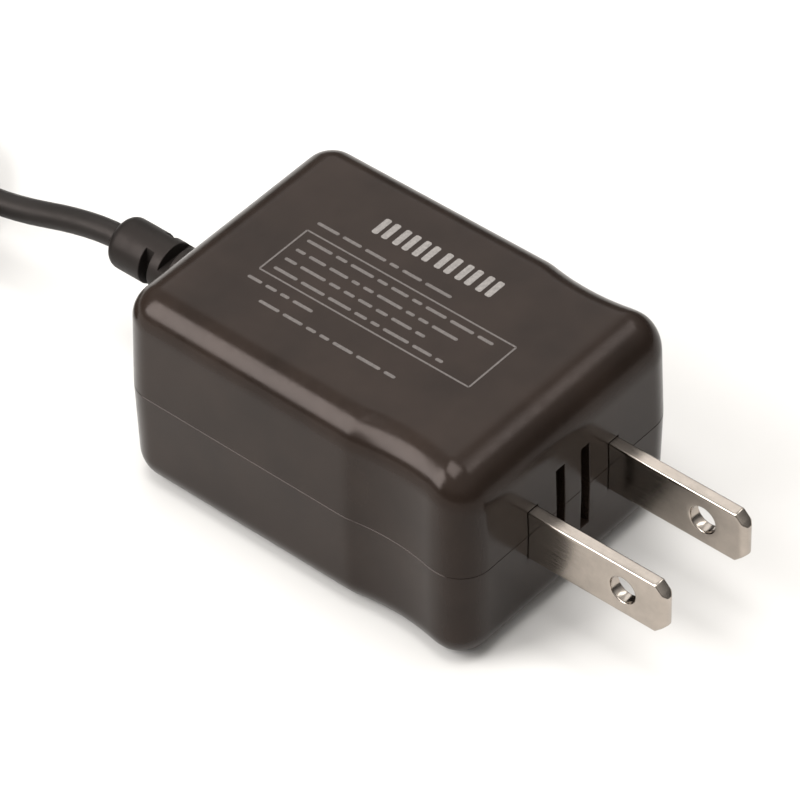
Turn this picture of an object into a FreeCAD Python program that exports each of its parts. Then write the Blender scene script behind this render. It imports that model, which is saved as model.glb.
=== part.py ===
"""Plug-in power adapter with two fixed flat blades, a strain relief and a coiled output cord.

Sizes are in millimetres. X runs across the case, Y from the plug face to the cord, Z up.
Pieces are laid out from the foot of the plug face, and front_y moves them to the part's own frame,
whose origin is under the middle of the adapter, from the blades' tips to the strain relief's end.
"""
import FreeCAD, Part
import math
import os
from types import SimpleNamespace

import Sketcher

Vector = FreeCAD.Vector
Rotation = FreeCAD.Rotation

# Driving dimensions
SIZES = {
    # case, measured at the parting line
    "case_width": 33.7,
    "case_narrowing": 0.8,
    "case_length": 46.2,
    "case_height": 25.4,
    "parting_height": 12.7,
    "draft_angle": 1.2,
    "side_radius": 3.7,
    "front_top_extra": 1.1,
    "front_bottom_extra": 0.25,
    "back_extra": 0.1,
    "side_wall": 2.0,
    "front_wall": 2.6,
    "inner_corner": 1.7,
    # finger scoops in both sides
    "scoop_start": 4.6,
    "scoop_length": 11.0,
    "scoop_depth": 0.6,
    "scoop_blend": 6.0,
    # tongue of the lower shell and groove of the upper one
    "tongue_height": 0.9,
    "tongue_thickness": 0.8,
    "tongue_clearance": 0.1,
    # moulded slots between the blades
    "slot_spacing": 3.9,
    "slot_width": 1.3,
    "slot_depth": 1.0,
    "slot_reach": 5.5,
    # blades and their seats
    "blade_spacing": 12.7,
    "blade_width": 6.35,
    "blade_thickness": 1.5,
    "blade_out": 17.3,
    "blade_hole_radius": 1.6,
    "blade_hole_distance": 11.9,
    "blade_tip_chamfer": 1.3,
    "blade_tip_bevel": 0.4,
    "blade_shoulder": 1.1,
    "shoulder_length": 1.6,
    "seat_length": 4.6,
    "seat_side": 2.2,
    "blade_tail": 3.2,
    "blade_clearance": 0.05,
    "wire_radius": 0.4,
    # circuit board and what holds it
    "board_height": 5.0,
    "board_thickness": 1.6,
    "board_gap": 0.6,
    "post_side": 2.4,
    "pin_side": 1.2,
    "pin_gap": 0.5,
    # component leads
    "lead_radius": 0.3,
    "lead_clearance": 0.1,
    "lead_below": 1.2,
    "body_lift": 0.2,
    # strain relief
    "relief_out": 15.8,
    "relief_radius": 2.95,
    "relief_neck_radius": 2.3,
    "relief_flange_radius": 3.5,
    "relief_flange": 1.6,
    "relief_clearance": 0.05,
    "relief_core": 1.5,
    "relief_slot_width": 1.1,
    "relief_first_slot": 0.25,
    "relief_slot_pitch": 3.65,
    "relief_end_radius": 1.2,
    # cord, coil and tie
    "cord_diameter": 2.8,
    "coil_radius": 14.9,
    "coil_across": -18.0,
    "coil_behind": 39.5,
    "tie_thickness": 0.6,
    "tie_width": 3.0,
    "tie_slack": 0.15,
    # barrel plug
    "plug_heading": 90.0,
    "grip_radius": 5.0,
    "grip_length": 24.0,
    "grip_tail_radius": 2.3,
    "grip_tail_length": 8.0,
    "sleeve_radius": 2.75,
    "sleeve_length": 9.5,
    "sleeve_wall": 0.3,
    "contact_bore_radius": 1.05,
    "contact_wall": 0.4,
    "contact_recess": 0.8,
}
COIL_ROWS = 4
COIL_LAYERS = 4

doc = FreeCAD.newDocument("power_adapter")
sheet = doc.addObject("Spreadsheet::Sheet", "Sizes")
for row, (alias, value) in enumerate(SIZES.items(), 1):
    sheet.set("A%d" % row, alias)
    sheet.set("B%d" % row, str(value))
    sheet.setAlias("B%d" % row, alias)
doc.recompute()


class Size:
    """A length that keeps its value and the words that tie it to the sheet."""

    def __init__(self, value, text):
        self.value = value
        self.text = text

    @staticmethod
    def of(other):
        if isinstance(other, Size):
            return other
        return Size(float(other), "(%r)" % float(other))

    def __add__(self, other):
        other = Size.of(other)
        return Size(self.value + other.value, "(%s + %s)" % (self.text, other.text))

    def __sub__(self, other):
        other = Size.of(other)
        return Size(self.value - other.value, "(%s - %s)" % (self.text, other.text))

    def __mul__(self, other):
        other = Size.of(other)
        return Size(self.value * other.value, "(%s * %s)" % (self.text, other.text))

    def __truediv__(self, other):
        other = Size.of(other)
        return Size(self.value / other.value, "(%s / %s)" % (self.text, other.text))

    def __radd__(self, other):
        return Size.of(other) + self

    def __rsub__(self, other):
        return Size.of(other) - self

    def __rmul__(self, other):
        return Size.of(other) * self

    def __neg__(self):
        return Size.of(0) - self

    def or_less(self, other):
        return Size(min(self.value, other.value), "min(%s; %s)" % (self.text, other.text))


S = SimpleNamespace(**{name: Size(value, "Sizes." + name) for name, value in SIZES.items()})

# Places that follow from the sizes
front_y = (S.blade_out - S.case_length - S.relief_out) / 2
cavity_half = (S.case_width - S.case_narrowing) / 2 - S.side_wall
cavity_back = S.case_length - S.side_wall
seat_back = S.front_wall + S.seat_length
board_front = seat_back + S.board_gap
board_back = cavity_back - S.board_gap
board_half = cavity_half - S.board_gap
board_top = S.board_height + S.board_thickness
ceiling = S.case_height - S.side_wall
relief_end = S.case_length + S.relief_out
coil_lift = S.tie_thickness + S.tie_slack
coil_y = relief_end + S.coil_behind

# The components are laid out for a board of these half width, length and room above it.
# They follow the board when the case changes size.
across = board_half / 13.85
along = (board_back - board_front) / 35.8
upward = (ceiling - board_top) / 16.8
thick = across.or_less(along)

ALONG_X = Rotation(Vector(0, 1, 0), 90)
ALONG_Y = Rotation(Vector(1, 0, 0), -90)

nodes = {}
lead_holes = []


def bind(item, prop, size):
    """Ties one property of an object to the sheet."""
    item.setExpression(prop, Size.of(size).text)


def place(item, x, y, z, turn=None):
    """Puts an object at a point measured from the foot of the plug face."""
    item.Placement = FreeCAD.Placement(Vector(), turn or Rotation())
    bind(item, "Placement.Base.x", x)
    bind(item, "Placement.Base.y", front_y + y)
    bind(item, "Placement.Base.z", z)


def keep(name, item):
    """Names a finished sub-part."""
    item.Label = name
    nodes[name] = item
    return item


# Solid primitives
def box(name, low, high):
    """A box between two corners."""
    item = doc.addObject("Part::Box", name)
    for prop, a, b in zip(("Length", "Width", "Height"), low, high):
        bind(item, prop, Size.of(b) - a)
    place(item, *low)
    return item


def rod(name, start, length, radius, turn=None):
    """A round rod that starts at a point and runs up, or along the axis of the turn."""
    item = doc.addObject("Part::Cylinder", name)
    bind(item, "Radius", radius)
    bind(item, "Height", length)
    place(item, *start, turn=turn)
    return item


def fuse(name, parts):
    """One solid from several that meet."""
    item = doc.addObject("Part::MultiFuse", name)
    item.Shapes = parts
    item.Refine = True
    return item


def cut(name, base, tools):
    """A solid less one or more tools."""
    item = doc.addObject("Part::Cut", name)
    item.Base = base
    item.Tool = tools[0] if len(tools) == 1 else fuse(name + "_tools", tools)
    item.Refine = True
    return item


# Bodies made of sketches and features
def new_body(name, x=0.0, y=0.0, z=0.0, turn=None):
    body = doc.addObject("PartDesign::Body", name)
    place(body, x, y, z, turn)
    return keep(name, body)


def new_sketch(body, name, plane="XY_Plane", offset=0.0):
    """A sketch on one of the body's own planes, moved along the plane's normal."""
    item = body.newObject("Sketcher::SketchObject", name)
    support = next(plane_item for plane_item in body.Origin.OriginFeatures if plane_item.Role == plane)
    item.AttachmentSupport = [(support, "")]
    item.MapMode = "FlatFace"
    bind(item, "AttachmentOffset.Base.z", offset)
    return item


def tie_point(item, index, position, x, y):
    """Ties one end of a sketch's edge to the sketch's origin by two lengths."""
    for kind, size in (("DistanceX", Size.of(x)), ("DistanceY", Size.of(y))):
        constraint = item.addConstraint(
            Sketcher.Constraint(kind, -1, 1, index, position, size.value))
        bind(item, "Constraints[%d]" % constraint, size)


def outline(item, corners, arcs=None):
    """Closes lines through the corners; arcs gives the depth of a bow in the side after a corner."""
    arcs = arcs or {}
    first = item.GeometryCount
    count = len(corners)
    values = [Vector(Size.of(x).value, Size.of(y).value, 0) for x, y in corners]
    ends = []
    for i, start in enumerate(values):
        end = values[(i + 1) % count]
        if i not in arcs:
            item.addGeometry(Part.LineSegment(start, end), False)
            ends.append((1, 2))
            continue
        # the bow lies to the left of the side when its depth is positive
        side = end - start
        bow = arcs[i]
        left = Vector(-side.y, side.x, 0).normalize()
        item.addGeometry(Part.Arc(start, (start + end) / 2 + left * bow.value, end), False)
        ends.append((2, 1) if bow.value > 0 else (1, 2))
    for i in range(count):
        after = (i + 1) % count
        item.addConstraint(
            Sketcher.Constraint("Coincident", first + i, ends[i][1], first + after, ends[after][0]))
    for i, (x, y) in enumerate(corners):
        tie_point(item, first + i, ends[i][0], x, y)
    for i, bow in arcs.items():
        after = (i + 1) % count
        depth = bow if bow.value > 0 else -bow
        run_x = Size.of(corners[after][0]) - corners[i][0]
        run_y = Size.of(corners[after][1]) - corners[i][1]
        radius = ((run_x * run_x + run_y * run_y) / 4 + depth * depth) / (2 * depth)
        constraint = item.addConstraint(Sketcher.Constraint("Radius", first + i, radius.value))
        bind(item, "Constraints[%d]" % constraint, radius)


def rectangle(item, low_x, low_y, high_x, high_y):
    outline(item, [(low_x, low_y), (high_x, low_y), (high_x, high_y), (low_x, high_y)])


def circle(item, x, y, radius):
    index = item.GeometryCount
    radius = Size.of(radius)
    middle = Vector(Size.of(x).value, Size.of(y).value, 0)
    item.addGeometry(Part.Circle(middle, Vector(0, 0, 1), radius.value), False)
    tie_point(item, index, 3, x, y)
    constraint = item.addConstraint(Sketcher.Constraint("Radius", index, radius.value))
    bind(item, "Constraints[%d]" % constraint, radius)


def volume_of(body):
    return body.Shape.Volume if body.Tip else 0.0


def feature(body, kind, sketch, length, reverse=False, middle=False, taper=None, grows=True):
    """Pads or pockets a sketch and checks that the body's volume changed the right way."""
    before = volume_of(body)
    item = body.newObject(kind, sketch.Name + ("_pad" if grows else "_pocket"))
    item.Profile = sketch
    bind(item, "Length", length)
    item.Reversed = reverse
    item.Midplane = middle
    if taper is not None:
        bind(item, "TaperAngle", taper)
    doc.recompute()
    change = body.Shape.Volume - before
    if (change > 0) != grows or abs(change) < 1e-3:
        raise RuntimeError("%s changed the volume by %.3f" % (item.Name, change))
    return item


def pad(body, sketch, length, **settings):
    return feature(body, "PartDesign::Pad", sketch, length, **settings)


def pocket(body, sketch, length, **settings):
    return feature(body, "PartDesign::Pocket", sketch, length, grows=False, **settings)


def revolve(body, sketch, axis):
    """Turns a sketch about one of the body's own axes."""
    item = body.newObject("PartDesign::Revolution", sketch.Name + "_turned")
    item.Profile = sketch
    support = next(axis_item for axis_item in body.Origin.OriginFeatures if axis_item.Role == axis)
    item.ReferenceAxis = (support, [""])
    item.Angle = 360
    doc.recompute()
    return item


def middle_of(edge):
    return edge.valueAt((edge.FirstParameter + edge.LastParameter) / 2)


def rise_of(edge):
    ends = edge.Vertexes
    return abs(ends[0].Point.z - ends[-1].Point.z)


def soften(body, name, radius, chosen, kind="PartDesign::Fillet"):
    """Rounds, or bevels, the edges of the body's last feature that the test picks."""
    base = body.Tip
    picked = ["Edge%d" % i for i, edge in enumerate(base.Shape.Edges, 1) if chosen(edge)]
    if not picked:
        raise RuntimeError("no edge found for " + name)
    item = body.newObject(kind, name)
    item.Base = (base, picked)
    bind(item, "Radius" if kind.endswith("Fillet") else "Size", radius)
    doc.recompute()
    return item


# Case
def case_plan():
    """Corners of the case at the parting line, and the bows of its finger scoops."""
    def half(y):
        return S.case_width / 2 - S.case_narrowing / 2 * y / S.case_length

    scoop_end = S.scoop_start + S.scoop_length
    right = [(half(y), y) for y in (Size.of(0), S.scoop_start, scoop_end, S.case_length)]
    left = [(-x, y) for x, y in reversed(right)]
    return right + left, {1: S.scoop_depth, 5: S.scoop_depth}


def shell(name, upper):
    """Half of the case: drafted walls, scoops, rounded edges, cavity, seats and board supports."""
    floor_z = S.case_height if upper else Size.of(0)
    rise = S.case_height - S.parting_height if upper else S.parting_height
    body = new_body(name)

    def from_parting(label):
        return new_sketch(body, name + "_" + label, "XY_Plane", S.parting_height)

    plan = from_parting("plan")
    outline(plan, *case_plan())
    pad(body, plan, rise, reverse=not upper, taper=-S.draft_angle)

    def along_front(edge):
        point = middle_of(edge)
        return abs(point.z - floor_z.value) < 0.01 and abs(point.x) < 0.01 and point.y < rise.value / 2

    def along_back(edge):
        point = middle_of(edge)
        return (abs(point.z - floor_z.value) < 0.01 and abs(point.x) < 0.01
                and point.y > S.case_length.value - rise.value / 2)

    def at_scoop(edge):
        y = middle_of(edge).y
        inside = S.scoop_start.value / 2 < y < (S.scoop_start + S.scoop_length).value * 1.2
        return rise_of(edge) > rise.value / 2 and inside

    def at_front_corner(edge):
        return rise_of(edge) > rise.value / 3 and middle_of(edge).y < S.scoop_start.value / 2

    soften(body, name + "_scoop_ends", S.scoop_blend, at_scoop)
    front_extra = S.front_top_extra if upper else S.front_bottom_extra
    soften(body, name + "_front_edge", S.side_radius + front_extra, along_front)
    soften(body, name + "_back_edge", S.side_radius + S.back_extra, along_back)
    soften(body, name + "_sides", S.side_radius, at_front_corner)

    # cavity with rounded corners
    cavity = from_parting("cavity")
    rectangle(cavity, -cavity_half, S.front_wall, cavity_half, cavity_back)
    pocket(body, cavity, rise - S.side_wall, reverse=upper)

    def cavity_corner(edge):
        point = middle_of(edge)
        return (rise_of(edge) > rise.value / 2 and abs(abs(point.x) - cavity_half.value) < 0.01
                and min(abs(point.y - S.front_wall.value), abs(point.y - cavity_back.value)) < 0.01)

    soften(body, name + "_cavity_corners", S.inner_corner, cavity_corner)

    # tongue of the lower shell, groove of the upper one
    ring = from_parting("tongue")
    grow = S.tongue_thickness + (S.tongue_clearance if upper else Size.of(0))
    rectangle(ring, -cavity_half - grow, S.front_wall - grow, cavity_half + grow, cavity_back + grow)
    if upper:
        pocket(body, ring, S.tongue_height + S.tongue_clearance, reverse=True)
    else:
        rectangle(ring, -cavity_half, S.front_wall, cavity_half, cavity_back)
        pad(body, ring, S.tongue_height)

    # a seat behind the front wall for each blade
    seats = from_parting("seats")
    reach = S.blade_thickness / 2 + S.seat_side
    for side in (-1, 1):
        middle = side * S.blade_spacing / 2
        rectangle(seats, middle - reach, S.front_wall, middle + reach, seat_back)
    pad(body, seats, rise - S.side_wall, reverse=not upper)
    grip = S.blade_thickness / 2 + S.blade_clearance
    ways = from_parting("blade_ways")
    for side in (-1, 1):
        middle = side * S.blade_spacing / 2
        rectangle(ways, middle - grip, -S.front_wall, middle + grip, seat_back + S.front_wall)
    pocket(body, ways, S.blade_width + 2 * S.blade_clearance, middle=True)
    shoulders = from_parting("shoulders")
    shoulder_y = S.front_wall + (S.seat_length - S.shoulder_length) / 2
    for side in (-1, 1):
        middle = side * S.blade_spacing / 2
        rectangle(shoulders, middle - grip, shoulder_y - S.blade_clearance,
                  middle + grip, shoulder_y + S.shoulder_length + S.blade_clearance)
    pocket(body, shoulders, S.blade_width + 2 * (S.blade_shoulder + S.blade_clearance), middle=True)

    # two slots in the plug face, between the blades
    slots = from_parting("front_slots")
    for side in (-1, 1):
        middle = side * S.slot_spacing / 2
        rectangle(slots, middle - S.slot_width / 2, -S.front_wall, middle + S.slot_width / 2, S.slot_depth)
    pocket(body, slots, 2 * S.slot_reach, middle=True)

    # round way for the neck of the strain relief
    way = new_sketch(body, name + "_relief_way", "XZ_Plane", -S.case_length)
    circle(way, 0, S.parting_height, S.relief_neck_radius + S.relief_clearance)
    pocket(body, way, 3 * S.side_wall, middle=True)

    # posts under the board, and pins that hold it down
    if upper:
        supports = new_sketch(body, name + "_pins", "XY_Plane", ceiling)
        side_x = cavity_half - S.pin_gap
        inset = S.pin_gap
        side = S.pin_side
        depth = ceiling - board_top
    else:
        supports = new_sketch(body, name + "_posts", "XY_Plane", S.side_wall)
        side_x = cavity_half
        inset = Size.of(0)
        side = S.post_side
        depth = S.board_height - S.side_wall
    for x in (-side_x, side_x - side):
        rectangle(supports, x, board_front + inset, x + side, board_front + inset + side)
        rectangle(supports, x, board_back - inset - side, x + side, board_back - inset)
    pad(body, supports, depth, reverse=upper)
    return body


def blade(name, side):
    """Flat blade with a round hole, a chamfered tip, a shoulder in its seat and a tail inside."""
    body = new_body(name, side * S.blade_spacing / 2, 0, S.parting_height)
    half = S.blade_width / 2
    shoulder_y = S.front_wall + (S.seat_length - S.shoulder_length) / 2
    shoulder_end = shoulder_y + S.shoulder_length
    tail_half = half - S.blade_tip_chamfer
    lower = [
        (-S.blade_out, -(half - S.blade_tip_chamfer)),
        (-S.blade_out + S.blade_tip_chamfer, -half),
        (shoulder_y, -half),
        (shoulder_y, -half - S.blade_shoulder),
        (shoulder_end, -half - S.blade_shoulder),
        (shoulder_end, -tail_half),
        (seat_back + S.blade_tail, -tail_half),
    ]
    upper = [(y, -z) for y, z in reversed(lower)]
    side_view = new_sketch(body, name + "_outline", "YZ_Plane")
    outline(side_view, lower + upper)
    pad(body, side_view, S.blade_thickness, middle=True)
    hole = new_sketch(body, name + "_hole", "YZ_Plane")
    circle(hole, -S.blade_hole_distance, 0, S.blade_hole_radius)
    pocket(body, hole, 2 * S.blade_thickness, middle=True)

    def at_tip(edge):
        point = middle_of(edge)
        return (abs(point.y + S.blade_out.value) < 0.01 and rise_of(edge) > S.blade_width.value / 4)

    soften(body, name + "_tip", S.blade_tip_bevel, at_tip, "PartDesign::Chamfer")
    return body


def strain_relief():
    """Sleeve with a flange inside the case, a neck in its wall and cross slots that let it bend."""
    body = new_body("strain_relief", 0, S.case_length, S.parting_height)
    inner = -S.side_wall - S.relief_flange
    profile = new_sketch(body, "relief_profile", "YZ_Plane")
    outline(profile, [
        (inner, 0),
        (S.relief_out, 0),
        (S.relief_out, S.relief_radius),
        (S.relief_first_slot, S.relief_radius),
        (S.relief_first_slot, S.relief_neck_radius),
        (-S.side_wall, S.relief_neck_radius),
        (-S.side_wall, S.relief_flange_radius),
        (inner, S.relief_flange_radius),
    ])
    revolve(body, profile, "Y_Axis")

    def at_end(edge):
        closed = len(edge.Vertexes) == 1
        return closed and abs(edge.Vertexes[0].Point.y - S.relief_out.value) < 0.01

    soften(body, "relief_end", S.relief_end_radius, at_end)
    count = int((SIZES["relief_out"] - 3 * SIZES["relief_end_radius"]) / SIZES["relief_slot_pitch"]) + 1
    for plane, first in (("YZ_Plane", 0), ("XY_Plane", 1)):
        slots = new_sketch(body, "relief_slots_" + plane[:2].lower(), plane)
        for index in range(first, count, 2):
            low = S.relief_first_slot + index * S.relief_slot_pitch
            high = low + S.relief_slot_width
            for sign in (-1, 1):
                near = sign * S.relief_core
                far = sign * 2 * S.relief_flange_radius
                if plane == "YZ_Plane":
                    corners = [(low, near), (high, near), (high, far), (low, far)]
                else:
                    corners = [(near, low), (near, high), (far, high), (far, low)]
                outline(slots, corners)
        pocket(body, slots, 4 * S.relief_flange_radius, middle=True)
    return body


# Circuit board and its components, placed across from its middle and along from its front
def spot(x, y):
    return x * across, board_front + y * along


def add_hole(x, y, radius=None):
    """Remembers where a lead goes through the board."""
    lead_holes.append((x, y, (radius or S.lead_radius) + S.lead_clearance))


def lead(name, x, y, top):
    """A straight lead that comes up through the board to a height above it."""
    add_hole(x, y)
    start = S.board_height - S.lead_below
    return rod(name, (x, y, start), board_top + top - start, S.lead_radius)


def scaled_box(name, centre, low, high):
    """A box whose corners are counted from a centre, in the layout's numbers."""
    corners = []
    for corner in (low, high):
        corners.append([at + value * unit for at, value, unit in zip(centre, corner, (across, along, upward))])
    return box(name, *corners)


def axial(name, x, y, direction, radius, length, span):
    """A round body lying on the board between two bent leads."""
    x, y = spot(x, y)
    stretch = across if direction == "x" else along
    turn = ALONG_X if direction == "x" else ALONG_Y
    radius, length, span = radius * thick, length * stretch, span * stretch
    height = radius + S.body_lift

    def at(offset):
        if direction == "x":
            return x + offset, y, board_top + height
        return x, y + offset, board_top + height

    parts = [rod(name + "_body", at(-length / 2), length, radius, turn),
             rod(name + "_wire", at(-span / 2), span, S.lead_radius, turn)]
    for side in (-1, 1):
        end_x, end_y, _ = at(side * span / 2)
        parts.append(lead(name + "_lead", end_x, end_y, height))
    keep(name, fuse(name + "_piece", parts))


def add_legs(body, x, y, places, radius, above=0.0):
    """Straight legs from a body down through the board, at places counted from the body's middle."""
    legs = new_sketch(body, body.Name + "_legs", "XY_Plane")
    for offset_x, offset_y in places:
        circle(legs, offset_x, offset_y, radius)
        add_hole(x + offset_x, y + offset_y, radius)
    pad(body, legs, S.board_thickness + S.lead_below + above, reverse=True)


def capacitor(name, x, y, radius, height, pitch):
    """An upright can with a bung groove near its foot, a crimped top and two leads."""
    x, y = spot(x, y)
    radius, height, pitch = radius * thick, height * upward, pitch * thick
    body = new_body(name, x, y, board_top)
    profile = new_sketch(body, name + "_section", "XZ_Plane")
    outline(profile, [(0, 0), (radius, 0), (radius, 1.0), (radius - 0.4, 1.5), (radius, 2.0),
                      (radius, height - 0.4), (radius - 0.4, height), (0, height)])
    revolve(body, profile, "Z_Axis")
    add_legs(body, x, y, [(0, -pitch / 2), (0, pitch / 2)], S.lead_radius)


def disc_capacitor(name, x, y, radius, thickness, pitch, rise):
    """A lens shaped disc on edge, with two leads."""
    x, y = spot(x, y)
    radius, half, pitch = radius * thick, thickness * across / 2, pitch * thick
    body = new_body(name, x, y, board_top + radius + rise)
    profile = new_sketch(body, name + "_section", "XY_Plane")
    outline(profile, [(-half, 0), (half, 0), (half, radius * 0.6), (half * 0.5, radius),
                      (-half * 0.5, radius), (-half, radius * 0.6)])
    revolve(body, profile, "X_Axis")
    add_legs(body, x, y, [(0, -pitch / 2), (0, pitch / 2)], S.lead_radius, radius + rise)


def choke(x, y):
    """A small drum core lying on the board, with its winding in the waist."""
    x, y = spot(x, y)
    length, flange, span = 6.0 * across, 1.0 * across, 8.4 * across
    radius, waist, winding = 1.2 * thick, 0.6 * thick, 1.05 * thick
    axis_z = board_top + radius + S.body_lift
    core = [rod("choke_waist", (x - length / 2, y, axis_z), length, waist, ALONG_X),
            rod("choke_wire", (x - span / 2, y, axis_z), span, S.lead_radius, ALONG_X)]
    for side, start in ((-1, -length / 2), (1, length / 2 - flange)):
        core.append(rod("choke_flange", (x + start, y, axis_z), flange, radius, ALONG_X))
        core.append(lead("choke_lead", x + side * span / 2, y, radius + S.body_lift))
    keep("choke_core", fuse("choke_core_piece", core))
    start = (x - length / 2 + flange, y, axis_z)
    outer = rod("choke_winding_outer", start, length - 2 * flange, winding, ALONG_X)
    inner = rod("choke_winding_inner", start, length - 2 * flange, waist, ALONG_X)
    keep("choke_winding", cut("choke_winding_piece", outer, [inner]))


def chip_underside(x, y):
    """Control chip on the board's underside, with flat legs on both sides."""
    x, y = spot(x, y)
    top = S.board_height
    half_x, half_y, leg_reach = 1.9 * across, 2.45 * along, 3.0 * across
    parts = [box("chip_body", (x - half_x, y - half_y, top - 1.6), (x + half_x, y + half_y, top - 0.15))]
    for index in range(4):
        low_y = y + (1.27 * index - 2.105) * along
        parts.append(box("chip_legs", (x - leg_reach, low_y, top - 0.3),
                         (x + leg_reach, low_y + 0.4 * along, top)))
    keep("control_chip", fuse("control_chip_piece", parts))


def optocoupler(x, y):
    """Four-legged package that bridges the isolation gap."""
    x, y = spot(x, y)
    centre = (x, y, board_top)
    parts = [scaled_box("opto_body", centre, (-2.3, -3.2, 0.5), (2.3, 3.2, 3.9))]
    for side_x in (-1.27, 1.27):
        parts.append(scaled_box("opto_arm", centre, (side_x - 0.3, -3.6, 1.9), (side_x + 0.3, 3.6, 2.2)))
        for side_y in (-3.6, 3.6):
            parts.append(lead("opto_leg", x + side_x * across, y + side_y * along, 2.2 * upward))
    keep("optocoupler", fuse("optocoupler_piece", parts))


def voltage_reference(x, y):
    """Three-legged package with slanted front edges."""
    x, y = spot(x, y)
    rise = 1.2
    body = new_body("voltage_reference", x, y, board_top + rise)
    plan = new_sketch(body, "reference_plan", "XY_Plane")
    wide, narrow, deep = 2.2 * across, 1.6 * across, 1.2 * along
    outline(plan, [(-wide, -deep), (wide, -deep), (narrow, deep), (-narrow, deep)])
    pad(body, plan, 4.4 * upward)
    pitch = 1.27 * across
    add_legs(body, x, y, [(-pitch, 0), (0, 0), (pitch, 0)], 0.25 * thick, rise)


def transformer(x, y):
    """Bobbin, winding and tape round the middle leg of two facing E cores."""
    x, y = spot(x, y)
    centre = (x, y, board_top + 6.4 * upward)
    core_half, core_reach, core_rise = 6.6, 6.2, 2.9
    window, leg, tube, gap = 4.5, 1.4, 0.6, 0.1
    tube_x, tube_z = leg + gap + tube, core_rise + gap + tube
    flange_x, flange_z = core_half - leg - gap, 5.6
    inside, wound = window - gap, window - gap - tube
    winding_x, winding_z, tape = 4.4, 4.9, 0.25

    def block(label, half_x, low_y, high_y, half_z):
        return scaled_box(label, centre, (-half_x, low_y, -half_z), (half_x, high_y, half_z))

    for name, side in (("transformer_core_front", -1), ("transformer_core_back", 1)):
        parts = []
        for label, low_x, high_x, near, far in (
                ("back", -core_half, core_half, window, core_reach), ("middle_leg", -leg, leg, 0.0, window),
                ("left_leg", -core_half, -core_half + leg, 0.0, window),
                ("right_leg", core_half - leg, core_half, 0.0, window)):
            low_y, high_y = sorted((side * near, side * far))
            parts.append(scaled_box("%s_%s" % (name, label), centre, (low_x, low_y, -core_rise),
                                    (high_x, high_y, core_rise)))
        keep(name, fuse(name + "_piece", parts))

    # bobbin: tube, two flanges and two feet with pins
    parts = [block("bobbin_tube", tube_x, -inside, inside, tube_z)]
    pins = []
    for side in (-1, 1):
        low, high = sorted((side * inside, side * wound))
        parts.append(block("bobbin_flange", flange_x, low, high, flange_z))
        low, high = sorted((side * wound, side * core_reach))
        parts.append(scaled_box("bobbin_foot", centre, (-flange_x, low, -flange_z),
                                (flange_x, high, -core_rise - gap)))
        for offset in (-3.9, -1.3, 1.3, 3.9):
            pins.append(lead("bobbin_pin", x + offset * across, y + side * 5.4 * along, 1.6 * upward))
    way = block("bobbin_way", leg + gap, -core_half, core_half, core_rise + gap)
    bobbin = cut("bobbin_hollow", fuse("bobbin_solid", parts), [way])
    keep("transformer_bobbin", fuse("transformer_bobbin_piece", [bobbin] + pins))

    # winding on the tube, and the tape round it
    core_way = block("winding_way", tube_x, -core_half, core_half, tube_z)
    winding = block("winding_block", winding_x, -wound, wound, winding_z)
    keep("transformer_winding", cut("transformer_winding_piece", winding, [core_way]))
    tape_way = block("tape_way", winding_x, -core_half, core_half, winding_z)
    tape_block = block("tape_block", winding_x + tape, -wound, wound, winding_z + tape)
    keep("transformer_tape", cut("transformer_tape_piece", tape_block, [tape_way]))


def input_wire(name, side):
    """A stiff wire on the blade's tail that goes down through the board."""
    x = side * (S.blade_spacing / 2 - S.blade_thickness / 2 - S.wire_radius)
    y = seat_back + S.blade_tail - 3 * S.wire_radius
    start = S.board_height - S.lead_below
    add_hole(x, y, S.wire_radius)
    keep(name, rod(name + "_piece", (x, y, start), S.parting_height + 3 * S.wire_radius - start,
                   S.wire_radius))


def output_wires(across_place, radius, bend):
    """Two insulated wires, one over the other, from the strain relief down to the board."""
    face = (front_y + cavity_back - S.relief_flange).value
    x = across_place * across.value
    for name, rise, run in (("output_wire_positive", 0.9, 5.2), ("output_wire_negative", -0.9, 2.4)):
        height = SIZES["parting_height"] + rise
        down = face - run * along.value
        points = [Vector(x, face, height), Vector(x, down, height), Vector(x, down, board_top.value)]
        item = doc.addObject("Part::Feature", name)
        item.Shape = tube_along(points, radius, bend)
        keep(name, item)


def circuit_board():
    """Board with a hole for each lead."""
    plate = box("board_plate", (-board_half, board_front, S.board_height), (board_half, board_back, board_top))
    drills = [rod("board_drill", (x, y, S.board_height - 1), S.board_thickness + 2, radius)
              for x, y, radius in lead_holes]
    keep("circuit_board", cut("circuit_board_piece", plate, drills))


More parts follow.
